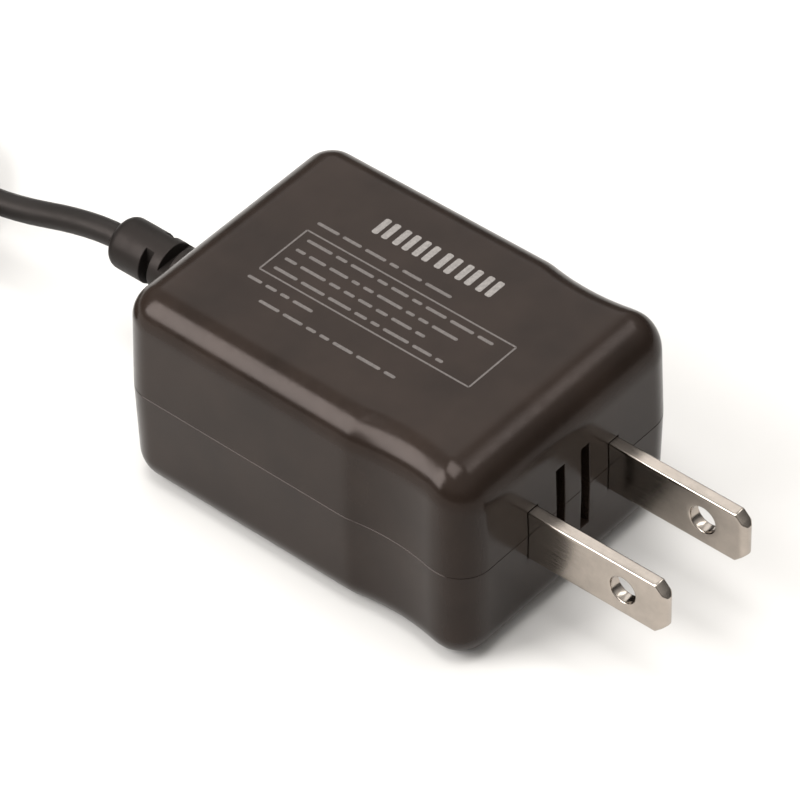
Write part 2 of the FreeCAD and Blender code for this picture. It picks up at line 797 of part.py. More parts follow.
def components():
    """Everything on the board: input side in front, transformer in the middle, output at the back."""
    axial("fusible_resistor", -11.5, 7.3, "y", 1.6, 8.0, 11.0)
    for index, x in enumerate((-8.2, -4.9, -1.6, 1.7), 1):
        axial("rectifier_diode_%d" % index, x, 7.4, "y", 1.35, 5.2, 8.0)
    axial("startup_resistor", 4.4, 7.4, "y", 0.9, 3.6, 7.0)
    capacitor("input_capacitor_1", 9.6, 7.2, 4.0, 12.0, 3.5)
    capacitor("input_capacitor_2", 9.6, 15.8, 4.0, 12.0, 3.5)
    choke(-5.5, 13.4)
    axial("snubber_diode", 2.6, 13.4, "x", 1.0, 4.0, 6.0)
    axial("snubber_resistor", -12.2, 18.7, "y", 1.15, 6.3, 9.0)
    transformer(-3.4, 21.1)
    disc_capacitor("safety_capacitor", 4.75, 23.4, 3.25, 2.4, 5.0, 1.0)
    capacitor("bias_capacitor", 11.2, 22.4, 2.5, 8.0, 2.0)
    optocoupler(9.4, 29.0)
    voltage_reference(10.2, 34.2)
    capacitor("output_capacitor_1", -9.4, 31.65, 4.0, 12.5, 3.5)
    capacitor("output_capacitor_2", -2.6, 31.1, 2.5, 11.0, 2.0)
    axial("output_diode", 4.7, 31.4, "y", 1.35, 5.2, 7.0)
    chip_underside(0.0, 7.4)
    input_wire("input_wire_left", -1)
    input_wire("input_wire_right", 1)
    output_wires(0.9, 0.55, 1.2)
    circuit_board()


# Cord: straight runs joined by tangent arcs, and the outer shape of its coil
def tube_along(points, radius, largest=None):
    """A round tube along runs joined by arcs, each as large as its two runs allow, or as given."""
    edges = []
    start = points[0]
    length = 0.0
    radii = []
    for index in range(1, len(points) - 1):
        before = points[index - 1] - points[index]
        after = points[index + 1] - points[index]
        run = min(before.Length, after.Length)
        turn = math.pi - before.getAngle(after)
        bend = 0.45 * run / math.tan(turn / 2)
        if largest:
            bend = min(bend, largest)
        reach = bend * math.tan(turn / 2)
        before.normalize()
        after.normalize()
        entry = points[index] + before * reach
        leave = points[index] + after * reach
        inward = (before + after).normalize()
        middle = points[index] + inward * (bend / math.cos(turn / 2) - bend)
        edges.append(Part.LineSegment(start, entry).toShape())
        edges.append(Part.Arc(entry, middle, leave).toShape())
        length += (entry - start).Length + bend * turn
        radii.append(round(bend, 1))
        start = leave
    edges.append(Part.LineSegment(start, points[-1]).toShape())
    length += (points[-1] - start).Length
    path = Part.Wire(edges)
    section = Part.Wire([Part.Circle(points[0], points[1] - points[0], radius).toShape()])
    tube = path.makePipeShell([section], True, True)
    expected = math.pi * radius ** 2 * length
    if abs(tube.Volume / expected - 1) > 0.01:
        raise RuntimeError("tube volume %.2f, expected %.2f" % (tube.Volume, expected))
    print("tube", round(length, 1), "long, bend radii", radii)
    return tube


# Routes, chosen by hand: across and along from the strain relief's end, and from the coil's middle
LEAD_ROUTE = [(0.0, 5.6, 12.7), (-1.4, 15.2, 9.2), (-1.9, 24.6, 9.2), (-0.7, 31.4, 10.5)]
TAIL_ROUTE = [(0.0, -19.1, 2.15), (17.0, -19.1, 1.8), (23.06, -15.6, 2.6)]
PLUG_PLACE = (26.6, -2.05)
PLUG_RUN = 7.5


def coil_middle():
    return Vector(S.coil_across.value, (front_y + coil_y).value, 0)


def plug_start():
    """Where the cord enters the plug, at the height at which the plug lies on the surface."""
    return coil_middle() + Vector(PLUG_PLACE[0], PLUG_PLACE[1], S.grip_radius.value)


def plug_turn():
    return Rotation(Vector(0, 0, 1), SIZES["plug_heading"])


def cord():
    """Coil, tie, and the two stretches of cord that aren't coiled."""
    diameter = S.cord_diameter
    half_width = diameter * (COIL_ROWS / 2)
    height = diameter * COIL_LAYERS
    corner = diameter / 3
    coil = new_body("cord_coil", S.coil_across, coil_y, coil_lift)
    profile = new_sketch(coil, "coil_section", "XZ_Plane")
    inner, outer = S.coil_radius - half_width, S.coil_radius + half_width
    outline(profile, [(inner + corner, 0), (outer - corner, 0), (outer, corner), (outer, height - corner),
                      (outer - corner, height), (inner + corner, height), (inner, height - corner),
                      (inner, corner)])
    revolve(coil, profile, "Z_Axis")

    # the tie goes round the coil's section on the side away from the adapter
    tie = new_body("coil_tie", S.coil_across - S.coil_radius, coil_y + S.tie_width / 2, coil_lift)
    band = new_sketch(tie, "tie_band", "XZ_Plane")
    for grow in (S.tie_slack, S.tie_slack + S.tie_thickness):
        rectangle(band, -half_width - grow, -grow, half_width + grow, height + grow)
    pad(tie, band, S.tie_width)
    doc.recompute()

    radius = S.cord_diameter.value / 2
    start = Vector(0, (front_y + relief_end).value, SIZES["parting_height"])
    lead_points = [start] + [Vector(x, start.y + y, z) for x, y, z in LEAD_ROUTE]
    middle = coil_middle()
    tail_points = [middle + Vector(x, y, z) for x, y, z in TAIL_ROUTE]
    tail_points += [plug_start() - plug_turn().multVec(Vector(PLUG_RUN, 0, 0)), plug_start()]
    for name, points in (("cord_lead", lead_points), ("cord_tail", tail_points)):
        item = doc.addObject("Part::Feature", name)
        item.Shape = tube_along(points, radius).cut(coil.Shape)
        keep(name, item)


def plug():
    """Barrel plug: moulded grip, outer sleeve, insulator and inner contact tube, on one axis."""
    start = plug_start()
    front = S.grip_length
    end = S.grip_length + S.sleeve_length
    seat = front - 0.5 * S.sleeve_length
    bore = S.contact_bore_radius
    contact = bore + S.contact_wall
    inner = S.sleeve_radius - S.sleeve_wall
    tail = S.grip_tail_length

    def turned(name, corners):
        body = new_body(name, start.x, coil_y + PLUG_PLACE[1], S.grip_radius, plug_turn())
        profile = new_sketch(body, name + "_profile", "XY_Plane")
        outline(profile, corners)
        revolve(body, profile, "X_Axis")

    turned("plug_grip", [
        (0, 0), (seat, 0), (seat, inner), (front, inner), (front, S.grip_radius - 1.0),
        (front - 1.0, S.grip_radius), (front - 6.0, S.grip_radius), (front - 8.0, S.grip_radius - 0.7),
        (tail + 2.0, S.grip_radius - 0.7), (tail, S.grip_radius), (tail - 0.8, S.grip_radius - 1.2),
        (tail - 0.8, S.grip_tail_radius + 0.7), (0, S.grip_tail_radius)])
    turned("plug_sleeve", [(front, inner), (end, inner), (end, S.sleeve_radius), (front, S.sleeve_radius)])
    turned("plug_insulator", [(seat, contact), (end - 0.3, contact), (end - 0.3, inner), (seat, inner)])
    turned("plug_contact", [(seat, bore), (end - S.contact_recess, bore), (end - S.contact_recess, contact),
                            (seat, contact)])


def check_and_write():
    """Stops on any failed object or shape, then writes one file for each sub-part."""
    doc.recompute()
    for item in doc.Objects:
        if "Invalid" in item.State or "Error" in item.State:
            raise RuntimeError("%s failed: %s" % (item.Name, item.State))
    for name, item in nodes.items():
        shape = item.Shape
        if shape.isNull() or not shape.isValid() or not shape.Solids:
            raise RuntimeError(name + " has no valid solid")
    os.makedirs("parts", exist_ok=True)
    for name, item in nodes.items():
        item.Shape.exportStep("parts/%s.step" % name)
    print(len(nodes), "sub-parts written")


def main():
    shell("upper_shell", True)
    shell("lower_shell", False)
    blade("blade_left", -1)
    blade("blade_right", 1)
    strain_relief()
    components()
    cord()
    plug()
    check_and_write()


main()
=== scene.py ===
"""Dresses the packed frame of a small plug-in power adapter, as a photographer's table would show it."""
import math

import bmesh
import bpy
import numpy as np
from bpy.props import FloatProperty, FloatVectorProperty, IntProperty, PointerProperty
from bpy.types import Operator, Panel, PropertyGroup
from mathutils import Matrix, Vector


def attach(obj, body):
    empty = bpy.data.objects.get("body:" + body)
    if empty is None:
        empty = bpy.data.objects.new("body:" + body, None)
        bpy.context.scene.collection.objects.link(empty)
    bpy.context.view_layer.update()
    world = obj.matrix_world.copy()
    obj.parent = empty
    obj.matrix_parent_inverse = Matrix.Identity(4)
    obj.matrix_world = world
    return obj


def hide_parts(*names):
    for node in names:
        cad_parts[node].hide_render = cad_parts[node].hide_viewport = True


bl_info = {
    "name": "Plug-in Power Adapter",
    "version": (1, 0, 0),
    "blender": (4, 5, 0),
    "location": "View3D > Sidebar > Adapter",
    "description": "Builds the case, blades, strain relief, cord and plug of a small power adapter",
    "category": "Object",
}

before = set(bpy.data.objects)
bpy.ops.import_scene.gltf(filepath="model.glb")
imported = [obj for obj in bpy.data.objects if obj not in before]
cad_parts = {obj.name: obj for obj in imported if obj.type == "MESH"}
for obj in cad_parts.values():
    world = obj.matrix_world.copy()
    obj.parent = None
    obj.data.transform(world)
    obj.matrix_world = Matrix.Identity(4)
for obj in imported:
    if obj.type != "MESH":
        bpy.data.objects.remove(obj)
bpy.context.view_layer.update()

# The plug face stands this far from the middle of the object, towards the blades
PLUG_FACE = -0.02235
PARTING = 0.0127
TOP = 0.0254
# Points nearer than this are one
SAME_PLACE = 0.0000004


def length(name, description, default):
    """A length that a user may change, in metres."""
    return FloatProperty(name=name, description=description, default=default, min=0.0,
                         precision=5, subtype="DISTANCE", unit="LENGTH")


def angle(name, description, degrees):
    """An angle that a user may change."""
    return FloatProperty(name=name, description=description, default=math.radians(degrees),
                         subtype="ANGLE", unit="ROTATION")


def colour(name, description, default):
    """A surface colour, as linear red, green and blue."""
    return FloatVectorProperty(name=name, description=description, default=default, size=3,
                               min=0.0, max=1.0, subtype="COLOR")


def brightness(name, description, default):
    """Radiance of a light, or strength of the room."""
    return FloatProperty(name=name, description=description, default=default, min=0.0)


def point(name, description, default):
    """A point of the frame, in metres."""
    return FloatVectorProperty(name=name, description=description, default=default, size=3,
                               subtype="TRANSLATION", unit="LENGTH")


class AdapterCase(PropertyGroup):
    """Sizes of the two moulded halves."""
    width: length("Width", "Across the plug face at the parting line", 0.0337)
    narrowing: length("Narrowing", "How much less the width is at the back", 0.0008)
    depth: length("Length", "From the plug face to the back", 0.0462)
    draft: angle("Draft", "Lean of the moulded walls", 1.2)
    side_edge: length("Side edge", "Radius of the side edges and the corners", 0.0037)
    front_top_edge: length("Front top edge", "Radius of the top edge over the blades", 0.0048)
    front_low_edge: length("Front low edge", "Radius of the low edge under the blades", 0.00395)
    back_edge: length("Back edge", "Radius of the edges at the cord's end", 0.0038)
    wall: length("Wall", "Thickness of the side walls", 0.002)
    front_wall: length("Front wall", "Thickness of the plug face", 0.0026)
    seam: length("Seam", "Chamfer of each half at the parting line", 0.00006)
    scoop_middle: length("Scoop middle", "From the plug face to the middle of the finger scoops", 0.0101)
    scoop_bow: length("Scoop bow", "Radius of the finger scoops", 0.0255)
    scoop_depth: length("Scoop depth", "Depth of the finger scoops", 0.0006)
    scoop_blend: length("Scoop blend", "Radius at which the scoops run out", 0.006)
    slot_middle: length("Slot middle", "From the middle to the middle of each front slot", 0.00195)
    slot_width: length("Slot width", "Width of the front slots", 0.0013)
    slot_depth: length("Slot depth", "Depth of the front slots", 0.001)
    slot_reach: length("Slot reach", "From the parting line to the end of a slot", 0.0055)
    way_width: length("Way width", "Width of the openings round the blades", 0.0016)
    way_reach: length("Way reach", "Half height of the openings round the blades", 0.003225)
    way_depth: length("Way depth", "How deep one can see beside a blade", 0.0019)


class AdapterBlades(PropertyGroup):
    """Sizes of the flat blades."""
    spacing: length("Spacing", "Between the middles of the blades", 0.0127)
    width: length("Width", "Height of a blade as it stands", 0.00635)
    thickness: length("Thickness", "Thickness of the sheet", 0.0015)
    out: length("Length out", "From the plug face to the tip", 0.0173)
    hole_radius: length("Hole radius", "Radius of the round hole", 0.0016)
    hole_place: length("Hole place", "From the plug face to the hole's middle", 0.0119)
    tip_chamfer: length("Tip chamfer", "Cut at the corners of the tip", 0.0013)
    tip_bevel: length("Tip bevel", "Thinning at the tip", 0.0004)
    edge: length("Edge", "Rounding of the sheared edges", 0.0002)


class AdapterRelief(PropertyGroup):
    """Sizes of the strain relief."""
    radius: length("Radius", "Outer radius", 0.00295)
    neck: length("Neck", "Radius in the case's wall", 0.0023)
    flange: length("Flange", "Radius of the flange inside the case", 0.0035)
    out: length("Length out", "From the case's back to the end", 0.01435)
    gap: length("Gap", "From the case's back to the wide part", 0.00025)
    core: length("Core", "Half thickness left between two slots", 0.0015)
    slots: IntProperty(name="Slots", description="Upright and level slots by turns", default=4, min=0)
    first_slot: length("First slot", "From the case's back to the first slot", 0.0012)
    pitch: length("Pitch", "From one slot to the next", 0.0024)
    slot: length("Slot", "Width of a slot", 0.0011)
    end_edge: length("End edge", "Radius of the end's edge", 0.0012)
    edge: length("Edge", "Rounding of the slots' edges", 0.00012)


class AdapterCord(PropertyGroup):
    """Sizes of the output cord, its coil and the tie."""
    diameter: length("Diameter", "Diameter of the jacket", 0.0028)
    measured: length("Cut length", "Length of the whole cord", 1.55)
    coil_radius: length("Coil radius", "At the middle of the turns", 0.0149)
    rows: IntProperty(name="Rows", description="Turns side by side", default=4, min=1)
    layers: IntProperty(name="Layers", description="Turns on each other", default=4, min=1)
    turn_points: IntProperty(name="Points", description="Spline points in a turn", default=16, min=12)
    coil_lift: length("Coil lift", "Under the coil, where the tie passes", 0.00075)
    tie_width: length("Tie width", "Width of the tie", 0.003)
    tie_thickness: length("Tie thickness", "Thickness of the tie", 0.0006)
    tie_slack: length("Tie slack", "Between the turns and the tie", 0.00015)


class AdapterPlug(PropertyGroup):
    """Sizes of the barrel plug."""
    heading: angle("Heading", "Direction in which the plug points", 90.0)
    grip_radius: length("Grip radius", "Outer radius of the grip", 0.005)
    grip_length: length("Grip length", "Length of the grip", 0.024)
    tail_radius: length("Tail radius", "Radius where the cord goes in", 0.0023)
    tail_length: length("Tail length", "Length of the tapered tail", 0.008)
    sleeve_radius: length("Sleeve radius", "Outer radius of the barrel", 0.00275)
    sleeve_length: length("Sleeve length", "Length of the barrel", 0.0095)
    sleeve_wall: length("Sleeve wall", "Wall of the barrel", 0.0003)
    bore: length("Bore", "Radius of the inner contact's bore", 0.00105)
    contact_wall: length("Contact wall", "Wall of the inner contact", 0.0004)
    recess: length("Recess", "How far the inner contact sits back", 0.0008)


class AdapterPrint(PropertyGroup):
    """Sizes of the plain marks on top."""
    height: length("Ink", "Height of the ink over the plastic", 0.000012)
    row_height: length("Row height", "Height of the small marks", 0.0004)
    title_height: length("Title height", "Height of the large marks", 0.0026)
    stroke: length("Stroke", "Width of the large marks", 0.00075)
    line: length("Line", "Width of the frame's line", 0.0002)


class AdapterFinishes(PropertyGroup):
    """Colours of the surfaces that are seen."""
    case: colour("Case", "Moulded case", (0.0135, 0.0090, 0.0068))
    relief: colour("Strain relief", "Soft plastic at the back", (0.0088, 0.0074, 0.0066))
    cord: colour("Cord", "Jacket of the cord", (0.0124, 0.0111, 0.0102))
    blade: colour("Blades", "Plated sheet", (0.42, 0.372, 0.325))
    ink: colour("Ink", "Small marks on the case", (0.105, 0.090, 0.082))
    title: colour("Title ink", "Large marks on the case", (0.215, 0.195, 0.180))


class AdapterStage(PropertyGroup):
    """Camera and light."""
    place: point("Camera place", "Where the camera stands", (-0.34824455, -0.30199333, 0.45341208))
    aim: point("Aim", "Point in the middle of the view", (-0.0001631, 0.00015897, 0.0125809))
    roll: angle("Roll", "Turn of the camera about its line of sight", -1.1332)
    lens: FloatProperty(name="Lens", description="Focal length in millimetres", default=282.99)
    overhead: brightness("Overhead light", "Radiance of the light over the table", 8.0)
    left: brightness("Left light", "Radiance of the light along the left edge", 10.5)
    back: brightness("Back light", "Radiance of the light that the top mirrors", 1.0)
    front: brightness("Front light", "Radiance of the strip along the front edge", 4.4)
    room: brightness("Room", "Brightness of the room well over the table", 0.85)
    walls: brightness("Walls", "Brightness of the room near the horizon", 0.12)


GROUPS = {
    "adapter_case": AdapterCase,
    "adapter_blades": AdapterBlades,
    "adapter_relief": AdapterRelief,
    "adapter_cord": AdapterCord,
    "adapter_plug": AdapterPlug,
    "adapter_print": AdapterPrint,
    "adapter_finishes": AdapterFinishes,
    "adapter_stage": AdapterStage,
}


# Surfaces on grids

def grid(rows, closed=False):
    """Points and faces of rings of points joined row by row.

    If it is closed, the last ring is joined to the first, as on a tyre. If not, each end is closed
    by a fan to its middle.
    """
    rows = np.asarray(rows, float)
    count, around = rows.shape[:2]
    points, first = rows.reshape(-1, 3), count * around
    ring = np.arange(around)
    after = (ring + 1) % around
    low = np.arange(count if closed else count - 1)[:, None] * around
    high = (low + around) % first
    faces = np.stack([low + ring, low + after, high + after, high + ring], -1).reshape(-1, 4).tolist()
    if closed:
        return points, faces
    top = first - around
    faces += np.stack([after, ring, np.full(around, first)], -1).tolist()
    faces += np.stack([top + ring, top + after, np.full(around, first + 1)], -1).tolist()
    return np.vstack([points, rows[0].mean(0), rows[-1].mean(0)]), faces


def volume_inside(points, faces):
    """Signed volume within a closed surface, positive where its faces look outwards."""
    fans = [(face[0], face[i], face[i + 1]) for face in faces for i in range(1, len(face) - 1)]
    a, b, c = (points[np.array(side)] for side in zip(*fans))
    return float(np.einsum("ij,ij->i", a, np.cross(b, c)).sum()) / 6


def placed(name, data):
    """A new object of that data in the scene."""
    made = bpy.data.objects.new(name, data)
    bpy.context.scene.collection.objects.link(made)
    return made


def piece(name, surfaces, finish, sharp, replaced):
    """One object from closed surfaces, each turned so that its faces look outwards.

    Edges that bend by more than sharp, in degrees, stay sharp.
    """
    points, faces = [], []
    for some, sides in surfaces:
        some = np.asarray(some, float)
        if volume_inside(some - some.mean(0), sides) < 0:
            sides = [side[::-1] for side in sides]
        start = sum(len(block) for block in points)
        points.append(some)
        faces += [[index + start for index in side] for side in sides]
    mesh = bpy.data.meshes.new(name)
    mesh.from_pydata(np.vstack(points).tolist(), [], faces)
    merged = bmesh.new()
    merged.from_mesh(mesh)
    bmesh.ops.remove_doubles(merged, verts=merged.verts, dist=SAME_PLACE)
    merged.to_mesh(mesh)
    merged.free()
    mesh.shade_smooth()
    mesh.set_sharp_from_angle(angle=math.radians(sharp))
    mesh.materials.append(finish)
    made = placed(name, mesh)
    normals = made.modifiers.new("Large faces first", "WEIGHTED_NORMAL")
    normals.keep_sharp = True
    normals.weight = 90
    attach(made, "root")
    if replaced:
        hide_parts(*replaced)
    return made


def arc(first, last, count):
    """Angles in radians from the first to the last, both in degrees."""
    return np.radians(np.linspace(first, last, count))


# Finishes

class Nodes:
    """A material's nodes, added one at a time."""

    def __init__(self, name):
        self.material = bpy.data.materials.new(name)
        self.material.use_nodes = True
        self.tree = self.material.node_tree
        self.tree.nodes.clear()
        self.shader = self.add("ShaderNodeBsdfPrincipled")
        self.add("ShaderNodeOutputMaterial", {"Surface": self.shader.outputs["BSDF"]})
        self.place = self.add("ShaderNodeTexCoord").outputs["Object"]

    def feed(self, target, value):
        """Links a socket to the target, or sets a number or a colour on it."""
        if hasattr(value, "links"):
            self.tree.links.new(value, target)
        else:
            target.default_value = value

    def add(self, kind, values=(), **settings):
        """A node with those settings, and those numbers or sources on its sockets."""
        node = self.tree.nodes.new(kind)
        for key, value in settings.items():
            setattr(node, key, value)
        for key, value in dict(values).items():
            self.feed(node.inputs[key], value)
        return node

    def noise(self, per_metre, detail=3.0, rough=0.55, stretch=(1, 1, 1)):
        """A noise with so many features to the metre, stretched along the object's axes."""
        place = self.add("ShaderNodeMapping", {"Vector": self.place, "Scale": stretch}).outputs["Vector"]
        values = {"Vector": place, "Scale": per_metre, "Detail": detail, "Roughness": rough}
        return self.add("ShaderNodeTexNoise", values).outputs["Fac"]

    def ranged(self, value, low=0.0, high=1.0, start=0.3, end=0.7):
        """The value, spread from low to high."""
        values = {"Value": value, "From Min": start, "From Max": end, "To Min": low, "To Max": high}
        return self.add("ShaderNodeMapRange", values).outputs["Result"]

    def blend(self, value, first, second):
        """From the first colour to the second as the value goes from 0 to 1."""
        node = self.add("ShaderNodeMix", {"Factor": value}, data_type="RGBA")
        for socket, tint in (("A", first), ("B", second)):
            target = [i for i in node.inputs if i.name == socket and i.type == "RGBA"][0]
            self.feed(target, tint if hasattr(tint, "links") else (*tint, 1.0))
        return [o for o in node.outputs if o.type == "RGBA"][0]

    def raised(self, value, height, strength=1.0, under=None):
        """A bump of that height in metres, on another one if that is given."""
        values = {"Height": value, "Strength": strength, "Distance": height}
        if under is not None:
            values["Normal"] = under
        return self.add("ShaderNodeBump", values).outputs["Normal"]

    def surface(self, **values):
        """The material, with those numbers, colours and sources on its shader."""
        for key, value in values.items():
            self.feed(self.shader.inputs[key.replace("_", " ")], value)
        return self.material


def tinted(base, amount):
    """A colour made lighter or darker by that factor."""
    return tuple(min(1.0, part * amount) for part in base)


def moulded(name, base, gloss=(0.17, 0.27), grain=3200.0, height=0.000004):
    """Moulded plastic: a fine even grain, and a broad uneven sheen as the mould leaves it."""
    nodes = Nodes(name)
    broad = nodes.noise(140.0, 2.0)
    fine = nodes.noise(grain, 4.0, 0.6)
    worn = nodes.noise(900.0, 5.0, 0.7)
    return nodes.surface(
        Base_Color=nodes.blend(nodes.ranged(broad), tinted(base, 0.78), tinted(base, 1.22)),
        Roughness=nodes.ranged(worn, *gloss),
        Normal=nodes.raised(fine, height, 0.6, nodes.raised(broad, height * 5, 0.5)),
        IOR=1.5, Specular_IOR_Level=0.18, Specular_Tint=(1.0, 0.85, 0.79, 1.0))


def plated(name, base, gloss=(0.13, 0.24), along=(1, 0.05, 1), grain=5200.0, stain=0.80):
    """Plated sheet: brushed along one way, with faint stains and small scratches."""
    nodes = Nodes(name)
    brushed = nodes.noise(grain, 3.0, 0.6, along)
    stains = nodes.noise(420.0, 4.0, 0.65)
    return nodes.surface(
        Base_Color=nodes.blend(nodes.ranged(stains, start=0.35, end=0.75), base, tinted(base, stain)),
        Roughness=nodes.ranged(brushed, *gloss), Metallic=1.0,
        Normal=nodes.raised(brushed, 0.000004, 0.5, nodes.raised(stains, 0.00001, 0.25)))


def wound(name, base):
    """Fine enamelled wire, turn by turn, with painted shade in the grooves between the turns: at scale 1 a
    band of the wave is 2 pi / 20 long.
    """
    nodes, wire = Nodes(name), 0.00022
    scale = 2 * math.pi / (20 * wire)
    values = {"Vector": nodes.place, "Scale": scale, "Distortion": 0.6, "Detail": 1.0}
    wave = nodes.add("ShaderNodeTexWave", values, wave_type="BANDS", bands_direction="Z")
    turns = wave.outputs["Fac"]
    # painted shade: the colour darkens to 0.35 of the copper's in the grooves between the turns
    return nodes.surface(Base_Color=nodes.blend(turns, tinted(base, 0.35), base), Metallic=0.9,
                         Roughness=0.32, Normal=nodes.raised(turns, wire / 3))


def laminate(name, base):
    """Fibre laminate with its weave, under a clear green mask."""
    nodes = Nodes(name)
    weave = nodes.add("ShaderNodeTexChecker", {"Vector": nodes.place, "Scale": 1600.0}).outputs["Fac"]
    cloudy = nodes.noise(260.0)
    soft = nodes.blend(nodes.ranged(cloudy), tinted(base, 0.75), base)
    return nodes.surface(
        Base_Color=nodes.blend(nodes.ranged(weave, 0.0, 0.25, 0.0, 1.0), soft, tinted(base, 1.6)),
        Normal=nodes.raised(weave, 0.00001, 0.3), Roughness=nodes.ranged(cloudy, 0.28, 0.42))


def pressed(name, base):
    """Pressed and fired ferrite: matt, with small pits."""
    nodes = Nodes(name)
    values = {"Vector": nodes.place, "Scale": 2600.0}
    pits = nodes.add("ShaderNodeTexVoronoi", values).outputs["Distance"]
    dust = nodes.noise(700.0, 5.0, 0.7)
    return nodes.surface(
        Base_Color=nodes.blend(nodes.ranged(dust), tinted(base, 0.7), tinted(base, 1.4)),
        Roughness=nodes.ranged(dust, 0.55, 0.78), Normal=nodes.raised(pits, 0.00002, 0.4))


# Stage and camera

def look_from(place, aim, roll):
    """Turn of a camera that looks from its place to its aim, and leans by the roll."""
    ahead = (Vector(aim) - Vector(place)).normalized()
    flat = ahead.cross(Vector((0, 0, 1))).normalized()
    upright = flat.cross(ahead)
    right = math.cos(roll) * flat + math.sin(roll) * upright
    up = right.cross(ahead)
    return Matrix((right, up, -ahead)).transposed()


def softbox(name, direction, distance, size, radiance):
    """An oblong light of even radiance that faces the object."""
    light = bpy.data.lights.new(name, "AREA")
    light.shape = "RECTANGLE"
    light.size, light.size_y = size
    light.energy = radiance * math.pi * size[0] * size[1]
    away = Vector(direction).normalized()
    turn = away.to_track_quat("Z", "Y").to_matrix().to_4x4()
    place = Vector((0.0, 0.0, PARTING)) + away * distance
    placed(name, light).matrix_world = Matrix.Translation(place) @ turn


class ADAPTER_OT_stage(Operator):
    """Set up the camera, the pale floor and the soft lights"""
    bl_idname = "adapter.stage"
    bl_label = "Stage"

    def execute(self, context):
        stage = context.scene.adapter_stage
        data = bpy.data.cameras.new("camera")
        data.lens = stage.lens
        data.sensor_width = 36.0
        data.clip_start, data.clip_end = 0.05, 20.0
        camera = placed("camera", data)
        turn = look_from(stage.place, stage.aim, stage.roll)
        camera.matrix_world = Matrix.Translation(Vector(stage.place)) @ turn.to_4x4()
        context.scene.camera = camera
        context.scene.view_settings.view_transform = "Standard"

        floor = bpy.data.meshes.new("floor")
        half = 6.0
        corners = [(-half, -half, 0), (half, -half, 0), (half, half, 0), (-half, half, 0)]
        floor.from_pydata(corners, [], [(0, 1, 2, 3)])
        paper = Nodes("floor_paper")
        fibre = paper.ranged(paper.noise(60.0, 4.0))
        tone = paper.blend(fibre, (0.575, 0.56, 0.54), (0.595, 0.58, 0.56))
        floor.materials.append(paper.surface(Base_Color=tone, Roughness=0.9, Specular_IOR_Level=0.0))
        ground = placed("floor", floor)

        world = bpy.data.worlds.new("room")
        context.scene.world = world
        world.use_nodes = True
        tree = world.node_tree
        backdrop = tree.nodes["Background"]
        backdrop.inputs["Color"].default_value = (1.0, 0.99, 0.975, 1.0)
        way = tree.nodes.new("ShaderNodeTexCoord")
        split = tree.nodes.new("ShaderNodeSeparateXYZ")
        rise = tree.nodes.new("ShaderNodeMapRange")
        rise.interpolation_type = "SMOOTHSTEP"
        for name, value in (("From Min", 0.25), ("From Max", 0.70), ("To Min", stage.walls),
                            ("To Max", stage.room)):
            rise.inputs[name].default_value = value
        tree.links.new(way.outputs["Generated"], split.inputs["Vector"])
        tree.links.new(split.outputs["Z"], rise.inputs["Value"])
        tree.links.new(rise.outputs["Result"], backdrop.inputs["Strength"])
        softbox("overhead_light", (0.0, 0.0, 1.0), 1.2, (0.75, 0.75), stage.overhead)
        softbox("left_light", (-0.64, 0.45, 0.56), 0.6, (0.34, 0.46), stage.left)
        softbox("back_light", (0.58, 0.50, 0.66), 1.0, (0.6, 0.5), stage.back)
        softbox("front_light", (0.56, -0.27, 0.78), 0.6, (0.30, 0.10), stage.front)
        return {"FINISHED"}


# Cord

LEAD_ROUTE = [(0.0, 0.0042, 0.0125), (-0.0014, 0.0160, 0.0090), (-0.0019, 0.0260, 0.0092)]
TAIL_ROUTE = [(0.0, -0.0191, 0.00215), (0.0170, -0.0191, 0.0018), (0.02306, -0.0156, 0.0026)]
RELIEF_END = (0.0, 0.0382, 0.0127)
COIL_MIDDLE = (-0.0180, 0.07915, 0.0)
PLUG_START = (0.0086, 0.0771, 0.0050)
PLUG_RUN = 0.0075
COIL_ENTRY = math.radians(-25.0)
COIL_EXIT = math.radians(-90.0)
# How far a turn bows out where it changes layer, in diameters
LAYER_BOW = 0.37


def coil_points(cord):
    """The coil's turns: each keeps to its own cell of the section and moves to the next as it ends.

    The cells are taken row by row, the top layer inwards, the next outwards. A point's angle grows
    evenly, and its radius and height go from one cell's middle to the next by a smooth step over the
    last quarter of the turn. Where a turn changes layer it bows out of the section by a part of a
    diameter, so that neighbours stay a diameter apart.
    """
    across = (np.arange(cord.rows) - (cord.rows - 1) / 2) * cord.diameter
    cells = []
    for layer in range(cord.layers):
        height = cord.coil_lift + cord.diameter * (cord.layers - layer - 0.5)
        row = across[::-1] if layer % 2 == 0 else across
        cells += [(cord.coil_radius + place, height) for place in row]
    cells = np.array(cells)
    turns = len(cells) - 1 + (COIL_EXIT - COIL_ENTRY) / (2 * math.pi) % 1
    place = np.arange(int(turns * cord.turn_points)) / cord.turn_points
    turn = place.astype(int)
    part = np.clip((place - turn - 0.75) / 0.25, 0.0, 1.0)
    part = part * part * (3 - 2 * part)
    here, ahead = cells[turn], cells[np.minimum(turn + 1, len(cells) - 1)]
    radius = here[:, 0] + (ahead[:, 0] - here[:, 0]) * part
    height = here[:, 1] + (ahead[:, 1] - here[:, 1]) * part
    side = np.sign(here[:, 0] - cord.coil_radius)
    changes = np.abs(ahead[:, 1] - here[:, 1]) > 1e-6
    radius = radius + changes * side * LAYER_BOW * cord.diameter * np.sin(np.pi * part)
    radius = radius / math.cos(math.pi / cord.turn_points)
    around = COIL_ENTRY + 2 * math.pi * place
    return np.stack([COIL_MIDDLE[0] + radius * np.cos(around), COIL_MIDDLE[1] + radius * np.sin(around),
                     height], -1)


